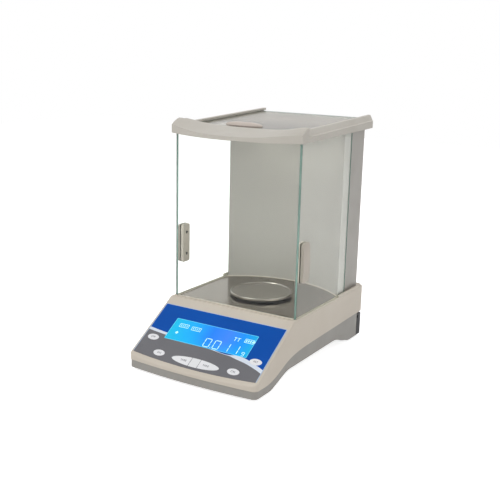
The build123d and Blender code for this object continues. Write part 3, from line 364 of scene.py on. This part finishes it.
# Printed keypad film: blue over grey, parted by a pale sweep
filmLook = {
    "blue": tone(0, 82, 176), "blueDeep": tone(0, 70, 158), "blueDrift": 0.6,
    "grey": tone(116, 116, 120), "greyDeep": tone(105, 105, 110), "greyDrift": 0.5, "specks": 0.1,
    "edge": tone(176, 196, 222), "half": 103.7, "length": 95.6, "edgeWidth": 0.9,
    # the sweep: x, height of its middle, half its thickness
    "sweep": tone(220, 228, 240), "reach": 105, "heightTop": 50, "thickTop": 5, "softEdge": 0.05,
    "sweepPoints": [(-105, 45.6, 2.3), (-72, 41.8, 2.1), (-30, 38.4, 1.6), (0, 35.6, 1.0), (36, 31.2, 0.4),
                    (52, 31.2, 2.4), (66, 29.7, 3.4), (84, 25.0, 3.1), (105, 17.4, 3.1)],
    # the pale lens round the long key, with its two bars
    "lensCentre": (2.0, 5.6), "lensRadii": (39.4, 7.5), "lens": tone(232, 233, 235),
    "bar": tone(90, 92, 100), "splitAt": 1.2, "barAt": 7.4, "barHalf": 0.35,
    # a faint ring at the left
    "ringAt": (-96.5, 11.9), "ringRadius": 2.3, "ringHalf": 0.25, "ringShare": 0.5,
    "grain": 2200.0, "softness": 0.7, "roughness": (0.42, 0.55), "bump": 0.12, "depth": 0.00008,
    "specular": 0.12,
}


# One of the sweep's values over the panel's width, as a curve from 0 to 1 both ways
def sweepCurve(tree, across, column, top):
    curve = wire(tree, "ShaderNodeFloatCurve", {"Value": across})
    points = curve.mapping.curves[0].points
    reach = filmLook["reach"]
    wanted = [((row[0] + reach) / (2 * reach), row[column] / top) for row in filmLook["sweepPoints"]]
    for spot in wanted[1:-1]:
        points.new(*spot)
    points[0].location, points[-1].location = wanted[0], wanted[-1]
    curve.mapping.update()
    return math1(tree, "MULTIPLY", curve.outputs[0], top * mm)


# How far a point lies from an ellipse's middle, where 1 is its edge
def ellipseReach(tree, x, v, centre, radii):
    first = math1(tree, "DIVIDE", math1(tree, "SUBTRACT", x, centre[0] * mm), radii[0] * mm)
    second = math1(tree, "DIVIDE", math1(tree, "SUBTRACT", v, centre[1] * mm), radii[1] * mm)
    squares = [math1(tree, "MULTIPLY", value, value) for value in (first, second)]
    return math1(tree, "SQRT", math1(tree, "ADD", *squares))


def distance(tree, value, middle):
    return math1(tree, "ABSOLUTE", math1(tree, "SUBTRACT", value, middle))


# Blue above the sweep and grey below it
def filmGround(tree, place, x, v):
    look = filmLook
    reach = look["reach"] * mm
    across = wire(tree, "ShaderNodeMapRange", {0: x, 1: -reach, 2: reach}).outputs[0]
    over = math1(tree, "SUBTRACT", v, sweepCurve(tree, across, 1, look["heightTop"]))
    half = sweepCurve(tree, across, 2, look["thickTop"])
    soft = look["softEdge"] * mm
    upper = wire(tree, "ShaderNodeMapRange", {0: over, 1: -soft, 2: soft})
    band = math1(tree, "LESS_THAN", math1(tree, "ABSOLUTE", over), half)
    blue = useGroup(tree, driftGroup, {"Vector": place, "Color": look["blue"], "Shade": look["blueDeep"],
                                       "Amount": look["blueDrift"], "Specks": look["specks"]})
    grey = useGroup(tree, driftGroup, {"Vector": place, "Color": look["grey"], "Shade": look["greyDeep"],
                                       "Amount": look["greyDrift"], "Specks": look["specks"]})
    color = blendColor(tree, upper.outputs[0], grey.outputs[0], blue.outputs[0])
    return blendColor(tree, band, color, look["sweep"])


def printedFilm():
    look = filmLook
    material, tree, shader, place = newMaterial("printedFilm")
    x, v = panelPoint(tree, place)
    color = filmGround(tree, place, x, v)
    lens = ellipseReach(tree, x, v, look["lensCentre"], look["lensRadii"])
    inLens = math1(tree, "LESS_THAN", lens, 1.0)
    color = blendColor(tree, inLens, color, look["lens"])
    fromBar = distance(tree, distance(tree, x, look["splitAt"] * mm), look["barAt"] * mm)
    onBar = math1(tree, "MULTIPLY", math1(tree, "LESS_THAN", fromBar, look["barHalf"] * mm), inLens)
    color = blendColor(tree, onBar, color, look["bar"])
    ring = ellipseReach(tree, x, v, look["ringAt"], (look["ringRadius"], look["ringRadius"]))
    onRing = math1(tree, "LESS_THAN", distance(tree, ring, 1.0), look["ringHalf"] / look["ringRadius"])
    color = blendColor(tree, math1(tree, "MULTIPLY", onRing, look["ringShare"]), color, look["bar"])
    # pale line along the film's upper edge and sides
    sides = math1(tree, "GREATER_THAN", math1(tree, "ABSOLUTE", x), (look["half"] - look["edgeWidth"]) * mm)
    top = math1(tree, "GREATER_THAN", v, (look["length"] - look["edgeWidth"]) * mm)
    color = blendColor(tree, math1(tree, "MAXIMUM", sides, top), color, look["edge"])
    tree.links.new(color, shader.inputs["Base Color"])
    grain = useGroup(tree, grainGroup, {"Vector": place, "Scale": look["grain"], "Softness": look["softness"]})
    setSheen(tree, shader, grain.outputs["Mask"], *look["roughness"])
    addBump(tree, shader, grain.outputs["Height"], look["bump"], look["depth"])
    shader.inputs["Specular IOR Level"].default_value = look["specular"]
    return material


# Lit display face: colours from left to right, then its pale rim, in millimetres of the panel
displayLook = {
    "left": tone(0, 184, 216), "right": tone(0, 162, 212), "rim": tone(110, 214, 240), "rimShare": 0.6,
    "between": [(0.3, tone(0, 160, 238)), (0.5, tone(20, 118, 228)), (0.68, tone(56, 122, 242)),
                (0.85, tone(0, 136, 236))],
    "half": 69.8, "low": 33.8, "high": 73.4, "rimWidth": 0.9,
    "lowerEnd": 52.0, "lowerShare": 0.35, "patch": tone(10, 140, 236), "patchShare": 0.25,
    "patchScale": 22.0, "patchDetail": 2.0,
    "glow": 0.3, "roughness": 0.2, "specular": 0.2, "coat": 0.15, "coatRoughness": 0.05,
}


def litDisplay():
    look = displayLook
    material, tree, shader, place = newMaterial("litDisplay")
    x, v = panelPoint(tree, place)
    half = look["half"] * mm
    across = wire(tree, "ShaderNodeMapRange", {0: x, 1: -half, 2: half})
    ramp = wire(tree, "ShaderNodeValToRGB", {0: across.outputs[0]})
    ramp.color_ramp.elements[0].color = look["left"]
    ramp.color_ramp.elements[1].color = look["right"]
    for spot, shade in look["between"]:
        ramp.color_ramp.elements.new(spot).color = shade
    lower = wire(tree, "ShaderNodeMapRange", {0: v, 1: look["low"] * mm, 2: look["lowerEnd"] * mm,
                                             3: look["lowerShare"], 4: 0.0})
    color = blendColor(tree, lower.outputs[0], ramp.outputs[0], look["left"])
    patch = wire(tree, "ShaderNodeTexNoise", {"Vector": place, "Scale": look["patchScale"],
                                             "Detail": look["patchDetail"]})
    color = blendColor(tree, math1(tree, "MULTIPLY", patch.outputs[0], look["patchShare"]), color, look["patch"])
    sides = math1(tree, "GREATER_THAN", math1(tree, "ABSOLUTE", x), (look["half"] - look["rimWidth"]) * mm)
    above = math1(tree, "GREATER_THAN", v, (look["high"] - look["rimWidth"]) * mm)
    below = math1(tree, "LESS_THAN", v, (look["low"] + look["rimWidth"]) * mm)
    rim = math1(tree, "MAXIMUM", math1(tree, "MAXIMUM", sides, above), below)
    color = blendColor(tree, math1(tree, "MULTIPLY", rim, look["rimShare"]), color, look["rim"])
    tree.links.new(color, shader.inputs["Base Color"])
    tree.links.new(color, shader.inputs["Emission Color"])
    for label, key in (("Emission Strength", "glow"), ("Roughness", "roughness"), ("Coat Weight", "coat"),
                       ("Specular IOR Level", "specular"), ("Coat Roughness", "coatRoughness")):
        shader.inputs[label].default_value = look[key]
    return material


finish["printedFilm"] = printedFilm()
finish["litDisplay"] = litDisplay()


# Marks that light up with the display
def litMark(name, look):
    material, tree, shader, place = newMaterial(name)
    drift = useGroup(tree, driftGroup, {"Vector": place, "Color": look["color"], "Shade": look["color"],
                                        "Amount": look["drift"], "Specks": 0.0})
    tree.links.new(drift.outputs[0], shader.inputs["Base Color"])
    tree.links.new(drift.outputs[0], shader.inputs["Emission Color"])
    shader.inputs["Emission Strength"].default_value = look["glow"]
    return material


finish["greenEdge"] = plastic("greenEdge", {
    "color": tone(138, 166, 156), "shade": tone(88, 118, 108), "roughness": (0.15, 0.3), "drift": 0.7,
    "grain": 300.0, "bump": 0.05,
})
finish["displayInk"] = litMark("displayInk", {"color": tone(178, 234, 248), "glow": 0.4, "drift": 0.2})
finish["keyInk"] = plastic("keyInk", {
    "color": tone(58, 62, 74), "shade": tone(48, 52, 62), "roughness": (0.4, 0.5),
})
print("materials made,", len(finish))

# Every CAD node gets its finish
nodeFinish = {
    "creamShell": ["upper_case"],
    "greyShell": ["lower_case"],
    "columnShell": ["chamber_wall"],
    "roofShell": ["roof_frame"],
    "gripShell": ["right_grip", "right_grip_plate", "left_grip", "left_grip_plate"],
    "shadedKnobShell": ["top_door_knob"],
    "rearShell": ["rear_panel"],
    "blackShell": ["power_jack"],
    "footRubber": ["front_left_foot", "front_right_foot", "rear_left_pad", "rear_right_pad"],
    "circuitBoard": ["main_board", "display_board"],
    "membraneFilm": ["switch_membrane"],
    "lightBox": ["lcd_backlight"],
    "keyFilm": ["key_upper_left", "key_lower_left", "tare_key_left", "tare_key_right", "key_lower_right",
                "key_upper_right"],
    "deckSteel": ["deck_plate"],
    "panSteel": ["weighing_pan"],
    "cellAlloy": ["load_cell", "pan_post", "pan_hub"],
    "castAlloy": ["chassis_plate", "load_cell_riser"],
    "zincSteel": ["board_screws", "display_screws", "case_screws", "serial_port"],
    "blackSteel": ["panel_screws", "right_grip_screws", "left_grip_screws"],
    "turnedSteel": ["rear_left_stud", "rear_right_stud"],
    "frontPane": ["front_glass"],
    "sidePane": ["right_door_glass", "left_door_glass"],
    "topPane": ["top_door_glass"],
    "printedFilm": ["keypad_overlay"],
    "litDisplay": ["display_window", "lcd_glass"],
}
for finishName, members in nodeFinish.items():
    for member in members:
        dress(member, finish[finishName])
print("nodes dressed,", sum(len(members) for members in nodeFinish.values()))


# Small pieces
def newPiece(name, mesh, material, body):
    piece = bpy.data.objects.new(name, mesh)
    bpy.context.scene.collection.objects.link(piece)
    piece.data.materials.clear()
    piece.data.materials.append(finish[material])
    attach(piece, body)
    return piece


def prism(shape, outline, low, high, place):
    lowRing = [shape.verts.new(place @ Vector((x * mm, v * mm, low * mm))) for x, v in outline]
    highRing = [shape.verts.new(place @ Vector((x * mm, v * mm, high * mm))) for x, v in outline]
    count = len(outline)
    shape.faces.new(highRing)
    shape.faces.new(lowRing[::-1])
    for index in range(count):
        after = (index + 1) % count
        shape.faces.new((lowRing[index], lowRing[after], highRing[after], highRing[index]))


def closeShape(shape, name):
    bmesh.ops.recalc_face_normals(shape, faces=shape.faces)
    mesh = bpy.data.meshes.new(name)
    shape.to_mesh(mesh)
    shape.free()
    return mesh


# Seven-segment figures: each segment is a bar with pointed ends. Sizes are millimetres of the panel,
# and level is the height over the film's plane
figures = {
    "centres": [(0.7, "0"), (16.4, "0"), (31.9, "1"), (47.3, "1")], "low": 36.0, "width": 9.4, "height": 14.4,
    "bar": 1.25, "gap": 0.25, "point": (8.6, 36.5), "pointSize": 1.3, "level": 0.27, "thick": 0.05,
}
unitLetter = {
    "centre": 61.8, "low": 35.4, "width": 3.8, "height": 6.2, "bar": 0.9, "gap": 0.1, "level": 0.27, "thick": 0.05,
}
segments = {"0": "abcdef", "1": "bc", "g": "abcdfg"}


def segmentBar(start, end, bar, gap):
    along = (Vector(end) - Vector(start)).normalized()
    side = Vector((-along.y, along.x))
    half = bar / 2
    first = Vector(start) + along * gap
    last = Vector(end) - along * gap
    return [first, first + along * half - side * half, last - along * half - side * half, last,
            last - along * half + side * half, first + along * half + side * half]


def addFigure(shape, centre, marks, look):
    left, right = centre - look["width"] / 2, centre + look["width"] / 2
    low, high = look["low"], look["low"] + look["height"]
    middle = low + look["height"] / 2
    bars = {
        "a": ((left, high), (right, high)), "b": ((right, middle), (right, high)),
        "c": ((right, low), (right, middle)), "d": ((left, low), (right, low)),
        "e": ((left, low), (left, middle)), "f": ((left, middle), (left, high)),
        "g": ((left, middle), (right, middle)),
    }
    for mark in marks:
        outline = segmentBar(*bars[mark], look["bar"], look["gap"])
        prism(shape, outline, look["level"], look["level"] + look["thick"], panelPlace)


def flatBar(shape, left, low, right, high, look):
    outline = [(left, low), (right, low), (right, high), (left, high)]
    prism(shape, outline, look["level"], look["level"] + look["thick"], panelPlace)


def frameOf(shape, left, low, right, high, look):
    line = look["line"]
    flatBar(shape, left, low, right, low + line, look)
    flatBar(shape, left, high - line, right, high, look)
    flatBar(shape, left, low + line, left + line, high - line, look)
    flatBar(shape, right - line, low + line, right, high - line, look)


# Signs along the top of the display: two boxes with bars, a diamond, two posts and a battery
signs = {
    "level": 0.27, "thick": 0.05, "line": 0.8,
    "boxes": [(-59.0, 58.6), (-37.2, 57.6)], "boxSize": (16.0, 6.8), "boxBars": (3.2, 6.4, 9.6, 12.8),
    "boxBar": (1.8, 5.0), "boxBarHalf": 0.5,
    "diamond": (-55.8, 47.9), "diamondHalf": 2.7,
    "posts": (36.0, 41.6), "postTop": (62.2, 63.2), "postFoot": 57.0, "postWidth": 4.4, "stem": (1.7, 2.7),
    "battery": (53.2, 58.0, 68.2, 65.0), "batteryTip": (68.2, 60.0, 69.6, 63.0),
    "cells": (1.8, 5.2, 8.6, 12.0), "cellHeight": (59.8, 63.2), "cellWidth": 1.9,
}


def addSigns(shape, look):
    width, height = look["boxSize"]
    barLow, barHigh = look["boxBar"]
    half = look["boxBarHalf"]
    for left, low in look["boxes"]:
        frameOf(shape, left, low, left + width, low + height, look)
        for step in look["boxBars"]:
            flatBar(shape, left + step - half, low + barLow, left + step + half, low + barHigh, look)
    x, v = look["diamond"]
    reach = look["diamondHalf"]
    prism(shape, [(x, v - reach), (x + reach, v), (x, v + reach), (x - reach, v)], look["level"],
          look["level"] + look["thick"], panelPlace)
    capLow, capHigh = look["postTop"]
    stemLeft, stemRight = look["stem"]
    for left in look["posts"]:
        flatBar(shape, left, capLow, left + look["postWidth"], capHigh, look)
        flatBar(shape, left + stemLeft, look["postFoot"], left + stemRight, capLow, look)
    frameOf(shape, *look["battery"], look)
    flatBar(shape, *look["batteryTip"], look)
    cellLow, cellHigh = look["cellHeight"]
    for step in look["cells"]:
        left = look["battery"][0] + step
        flatBar(shape, left, cellLow, left + look["cellWidth"], cellHigh, look)


shape = bmesh.new()
for centre, figure in figures["centres"]:
    addFigure(shape, centre, segments[figure], figures)
pointX, pointV = figures["point"]
half = figures["pointSize"] / 2
flatBar(shape, pointX - half, pointV - half, pointX + half, pointV + half, figures)
addFigure(shape, unitLetter["centre"], segments["g"], unitLetter)
addSigns(shape, signs)
newPiece("displayFigures", closeShape(shape, "displayFigures"), "displayInk", "balance")
print("figures placed")

# Key marks, printed on the caps: word, x, v and the key that carries it
keyMarks = {
    "size": 4.3, "level": 0.46, "thick": 0.03,
    "words": [("OFF", -87.3, 31.2, "key_upper_left"), ("ON", -61.5, 7.4, "key_lower_left"),
              ("TARE", -17.5, 5.4, "tare_key_left"), ("TARE", 20.0, 5.4, "tare_key_right"),
              ("CAL", 63.7, 7.4, "key_lower_right"), ("PRT", 86.6, 31.2, "key_upper_right")],
}


# The mesh that an object shows with its modifiers; the object itself goes
def settle(holder):
    bpy.context.scene.collection.objects.link(holder)
    bpy.context.view_layer.update()
    mesh = bpy.data.meshes.new_from_object(holder.evaluated_get(bpy.context.evaluated_depsgraph_get()))
    bpy.data.objects.remove(holder)
    return mesh


def wordMesh(word, x, v, look):
    curve = bpy.data.curves.new("word", "FONT")
    curve.body = word
    curve.size = look["size"] * mm
    curve.extrude = look["thick"] * mm / 2
    curve.align_x, curve.align_y = "CENTER", "CENTER"
    mesh = settle(bpy.data.objects.new("word", curve))
    bpy.data.curves.remove(curve)
    level = look["level"] + look["thick"] / 2
    mesh.transform(panelPlace @ Matrix.Translation((x * mm, v * mm, level * mm)))
    return mesh


for word, x, v, key in keyMarks["words"]:
    newPiece("mark_" + key, wordMesh(word, x, v, keyMarks), "keyInk", key)
print("key marks placed,", len(keyMarks["words"]))


# Green cut edges of the panes, as thin strips just outside the glass. Pane sizes are millimetres, with
# set-backs from the casing's front
paneEdges = {
    "gap": 0.02, "thick": 0.05, "frontHalf": 102.3, "frontBacks": (106.4, 109.0), "frontHeights": (84.6, 338.1),
    "doorSides": (101.0, 103.6), "doorBacks": (110.4, 266.4), "doorHeights": (86.5, 336.6),
    "topHalf": 94.6, "topAlong": (-100.09, 96.08), "topHeights": (-7.1, -4.0),
}
# The roof's slope, from the point on its crest that the CAD measures from
roof = {"pitch": math.radians(2.4), "back": 237.0, "height": 353.3}
frontY = panel["frontY"]
roofAlong = Vector((0, math.cos(roof["pitch"]), math.sin(roof["pitch"])))
roofUp = Vector((0, -math.sin(roof["pitch"]), math.cos(roof["pitch"])))
roofPlace = Matrix((Vector((1, 0, 0)), roofAlong, roofUp)).transposed().to_4x4()
roofPlace.translation = Vector((0, frontY + roof["back"], roof["height"]))


def box(shape, low, high, place):
    corners = [place @ Vector((x, y, z)) * mm for x in (low[0], high[0]) for y in (low[1], high[1])
               for z in (low[2], high[2])]
    spots = [shape.verts.new(corner) for corner in corners]
    for face in ((0, 1, 3, 2), (4, 6, 7, 5), (0, 4, 5, 1), (2, 3, 7, 6), (0, 2, 6, 4), (1, 5, 7, 3)):
        shape.faces.new([spots[index] for index in face])


# Two strips, on the sides that face along the axis, of a pane that lies between low and high
def edgeStrips(name, low, high, axis, body, place=Matrix.Identity(4)):
    shape = bmesh.new()
    near, far = paneEdges["gap"], paneEdges["gap"] + paneEdges["thick"]
    for side, edge in ((-1, low[axis]), (1, high[axis])):
        first, last = list(low), list(high)
        first[axis], last[axis] = sorted((edge + side * near, edge + side * far))
        box(shape, first, last, place)
    newPiece(name, closeShape(shape, name), "greenEdge", body)


def stripPanes(look):
    half = look["frontHalf"]
    first, last = (frontY + back for back in look["frontBacks"])
    bottom, top = look["frontHeights"]
    edgeStrips("front_glass_edges", (-half, first, bottom), (half, last, top), 0, "balance")
    first, last = (frontY + back for back in look["doorBacks"])
    bottom, top = look["doorHeights"]
    for side, body in ((1, "right_door"), (-1, "left_door")):
        inner, outer = sorted(side * edge for edge in look["doorSides"])
        edgeStrips(body + "_edges", (inner, first, bottom), (outer, last, top), 1, body)
    half = look["topHalf"]
    (first, last), (bottom, top) = look["topAlong"], look["topHeights"]
    edgeStrips("top_door_edges", (-half, first, bottom), (half, last, top), 1, "top_door", roofPlace)


stripPanes(paneEdges)
print("pane edges placed")


# The top door's grip, a low oval with a rounded rim, in the room of the CAD one
topGrip = {"around": 72, "rings": 10, "power": 2.4}


def ovalDome(look, base, place):
    inward = place.inverted()
    spots = [inward @ (vert.co / mm) for vert in nodes[base].data.vertices]
    low, high = ([pick(spot[axis] for spot in spots) for axis in range(3)] for pick in (min, max))
    middle = [(low[axis] + high[axis]) / 2 for axis in range(2)]
    half = [(high[axis] - low[axis]) / 2 for axis in range(2)]
    shape = bmesh.new()
    rings = []
    for step in range(look["rings"]):
        share = math.sin(step / look["rings"] * math.pi / 2)
        reach = (1 - share ** look["power"]) ** (1 / look["power"])
        level = low[2] + (high[2] - low[2]) * share
        ring = []
        for index in range(look["around"]):
            angle = 2 * math.pi * index / look["around"]
            spot = Vector((middle[0] + half[0] * reach * math.cos(angle),
                           middle[1] + half[1] * reach * math.sin(angle), level))
            ring.append(shape.verts.new(place @ spot * mm))
        rings.append(ring)
    for lower, upper in zip(rings, rings[1:]):
        for index in range(look["around"]):
            after = (index + 1) % look["around"]
            shape.faces.new((lower[index], lower[after], upper[after], upper[index]))
    shape.faces.new(rings[0][::-1])
    shape.faces.new(rings[-1])
    mesh = closeShape(shape, "topDoorGrip")
    # the walls are four-sided and smooth, the base and the top stay flat
    mesh.polygons.foreach_set("use_smooth", [len(face.vertices) == 4 for face in mesh.polygons])
    return mesh


gripMesh = ovalDome(topGrip, "top_door_knob", roofPlace)
piece = newPiece("topDoorGrip", gripMesh, "shadedKnobShell", "top_door")
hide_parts("top_door_knob")
print("top grip placed")

# Grip screws with a cross recess, made by Geometry Nodes. Slot sizes are shares of the head's radius
# and height
screwHeads = {
    "radius": 2.3, "height": 1.0, "slotWidth": 0.22, "slotLength": 1.15, "slotDepth": 0.5, "around": 32,
    "side": 96.9, "back": 126.0, "heights": (149.5, 182.5),
}


def makeScrewTree(look):
    tree = bpy.data.node_groups.new("crossHeadScrews", "GeometryNodeTree")
    for label, kind in (("Geometry", "Geometry"), ("Head Radius", "Float"), ("Head Height", "Float"),
                        ("Slot Width", "Float"), ("Slot Length", "Float"), ("Slot Depth", "Float"),
                        ("Turn", "Vector"), ("Material", "Material")):
        tree.interface.new_socket(label, in_out="INPUT", socket_type="NodeSocket" + kind)
    tree.interface.new_socket("Geometry", in_out="OUTPUT", socket_type="NodeSocketGeometry")
    source, sink = tree.nodes.new("NodeGroupInput"), tree.nodes.new("NodeGroupOutput")
    radius, height = source.outputs["Head Radius"], source.outputs["Head Height"]
    head = wire(tree, "GeometryNodeMeshCylinder", {"Vertices": look["around"], "Radius": radius, "Depth": height})
    length = math1(tree, "MULTIPLY", radius, source.outputs["Slot Length"])
    width = math1(tree, "MULTIPLY", radius, source.outputs["Slot Width"])
    depth = math1(tree, "MULTIPLY", height, source.outputs["Slot Depth"])
    # each slot's block is centred on the head's top, so it is twice as high as the slot is deep
    tall = math1(tree, "MULTIPLY", depth, 2.0)
    lift = wire(tree, "ShaderNodeCombineXYZ", {2: math1(tree, "MULTIPLY", height, 0.5)}).outputs[0]
    cut = wire(tree, "GeometryNodeMeshBoolean", {0: head.outputs[0]}, operation="DIFFERENCE")
    for first, second in ((length, width), (width, length)):
        size = wire(tree, "ShaderNodeCombineXYZ", {0: first, 1: second, 2: tall})
        block = wire(tree, "GeometryNodeMeshCube", {"Size": size.outputs[0]})
        moved = wire(tree, "GeometryNodeTransform", {"Geometry": block.outputs[0], "Translation": lift})
        tree.links.new(moved.outputs[0], cut.inputs[1])
    spread = wire(tree, "GeometryNodeInstanceOnPoints", {"Points": source.outputs["Geometry"],
                                                         "Instance": cut.outputs[0],
                                                         "Rotation": source.outputs["Turn"]})
    real = wire(tree, "GeometryNodeRealizeInstances", {0: spread.outputs[0]})
    coat = wire(tree, "GeometryNodeSetMaterial", {"Geometry": real.outputs[0],
                                                  "Material": source.outputs["Material"]})
    tree.links.new(coat.outputs[0], sink.inputs[0])
    return tree


screwTree = makeScrewTree(screwHeads)


def placeScrews(name, spots, turn, body, node, look):
    points = bpy.data.meshes.new(name + "Points")
    points.from_pydata([[value * mm for value in spot] for spot in spots], [], [])
    holder = bpy.data.objects.new(name + "Points", points)
    modifier = holder.modifiers.new("screws", "NODES")
    modifier.node_group = screwTree
    values = {
        "Head Radius": look["radius"] * mm, "Head Height": look["height"] * mm, "Slot Width": look["slotWidth"],
        "Slot Length": look["slotLength"], "Slot Depth": look["slotDepth"], "Turn": turn,
        "Material": finish["blackSteel"],
    }
    for item in screwTree.interface.items_tree:
        if item.item_type == "SOCKET" and item.in_out == "INPUT" and item.name in values:
            modifier[item.identifier] = values[item.name]
    piece = newPiece(name, settle(holder), "blackSteel", body)
    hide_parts(node)


for side, word in ((1, "right"), (-1, "left")):
    spots = [(side * screwHeads["side"], frontY + screwHeads["back"], height) for height in screwHeads["heights"]]
    turn = (0, -side * math.pi / 2, 0)
    placeScrews(word + "GripScrews", spots, turn, word + "_door", word + "_grip_screws", screwHeads)
print("screws placed")


# Camera matched to the photo, then floor and lights. Places are millimetres, the roll is degrees
cameraLook = {
    "place": (623.3, -1039.1, 457.9), "target": (1.1, -19.3, 164.1), "roll": 1.38, "lens": 59.76,
    "sensor": 36.0, "near": 0.05, "far": 30.0,
}


def placeCamera(look):
    data = bpy.data.cameras.new("photoCamera")
    data.lens = look["lens"]
    data.sensor_width = look["sensor"]
    data.clip_start, data.clip_end = look["near"], look["far"]
    camera = bpy.data.objects.new("photoCamera", data)
    bpy.context.scene.collection.objects.link(camera)
    place = Vector(look["place"]) * mm
    back = (place - Vector(look["target"]) * mm).normalized()
    right = (-back).cross(Vector((0, 0, 1))).normalized()
    up = right.cross(-back)
    turn = math.radians(look["roll"])
    rolledRight = math.cos(turn) * right + math.sin(turn) * up
    rolledUp = -math.sin(turn) * right + math.cos(turn) * up
    matrix = Matrix((rolledRight, rolledUp, back)).transposed().to_4x4()
    matrix.translation = place
    camera.matrix_world = matrix
    bpy.context.scene.camera = camera


placeCamera(cameraLook)

floorLook = {"size": 6.0, "color": tone(236, 236, 236), "glow": 0.8}


# 1 where the floor and the world are looked at, straight or through or off glass, and 0 for their light
def showsWhite(tree):
    path = tree.nodes.new("ShaderNodeLightPath")
    seen = math1(tree, "MAXIMUM", path.outputs["Is Camera Ray"], path.outputs["Is Glossy Ray"])
    return math1(tree, "MAXIMUM", seen, path.outputs["Is Transmission Ray"])


def placeFloor(look):
    mesh = bpy.data.meshes.new("floor")
    half = look["size"] / 2
    mesh.from_pydata([(-half, -half, 0), (half, -half, 0), (half, half, 0), (-half, half, 0)], [], [(0, 1, 2, 3)])
    floor = bpy.data.objects.new("floor", mesh)
    bpy.context.scene.collection.objects.link(floor)
    material = bpy.data.materials.new("paleFloor")
    material.use_nodes = True
    tree = material.node_tree
    tree.nodes.clear()
    output = tree.nodes.new("ShaderNodeOutputMaterial")
    matte = wire(tree, "ShaderNodeBsdfDiffuse", {0: look["color"]})
    glow = wire(tree, "ShaderNodeEmission", {0: (1, 1, 1, 1), 1: look["glow"]})
    both = wire(tree, "ShaderNodeAddShader", {0: matte.outputs[0], 1: glow.outputs[0]})
    pick = wire(tree, "ShaderNodeMixShader", {0: showsWhite(tree), 1: matte.outputs[0], 2: both.outputs[0]})
    tree.links.new(pick.outputs[0], output.inputs[0])
    mesh.materials.append(material)


placeFloor(floorLook)

worldLook = {"ambient": 0.42, "backdrop": 1.0}
world = bpy.data.worlds.new("studio")
world.use_nodes = True
bpy.context.scene.world = world
worldTree = world.node_tree
worldTree.nodes.clear()
worldOutput = worldTree.nodes.new("ShaderNodeOutputWorld")
ambient = wire(worldTree, "ShaderNodeBackground", {0: (1, 1, 1, 1), 1: worldLook["ambient"]})
backdrop = wire(worldTree, "ShaderNodeBackground", {0: (1, 1, 1, 1), 1: worldLook["backdrop"]})
pickWorld = wire(worldTree, "ShaderNodeMixShader", {0: showsWhite(worldTree), 1: ambient.outputs[0],
                                                    2: backdrop.outputs[0]})
worldTree.links.new(pickWorld.outputs[0], worldOutput.inputs[0])

# Lamps: places and sizes in metres, power in watts
lamps = [
    {"name": "keyLamp", "place": (-0.6, -1.5, 1.7), "aim": (0, 0, 0.15), "size": 1.3, "power": 22},
    {"name": "fillLamp", "place": (1.7, -0.6, 1.0), "aim": (0, 0, 0.15), "size": 1.4, "power": 8},
    {"name": "rearLamp", "place": (0.2, 1.5, 1.7), "aim": (0, 0, 0.2), "size": 1.2, "power": 9},
]
for lamp in lamps:
    data = bpy.data.lights.new(lamp["name"], "AREA")
    data.shape = "SQUARE"
    data.size = lamp["size"]
    data.energy = lamp["power"]
    light = bpy.data.objects.new(lamp["name"], data)
    bpy.context.scene.collection.objects.link(light)
    light.location = lamp["place"]
    light.rotation_mode = "QUATERNION"
    light.rotation_quaternion = (Vector(lamp["aim"]) - Vector(lamp["place"])).to_track_quat("-Z", "Y")

bpy.context.scene.view_settings.view_transform = "Standard"
print("camera, floor and lights placed")
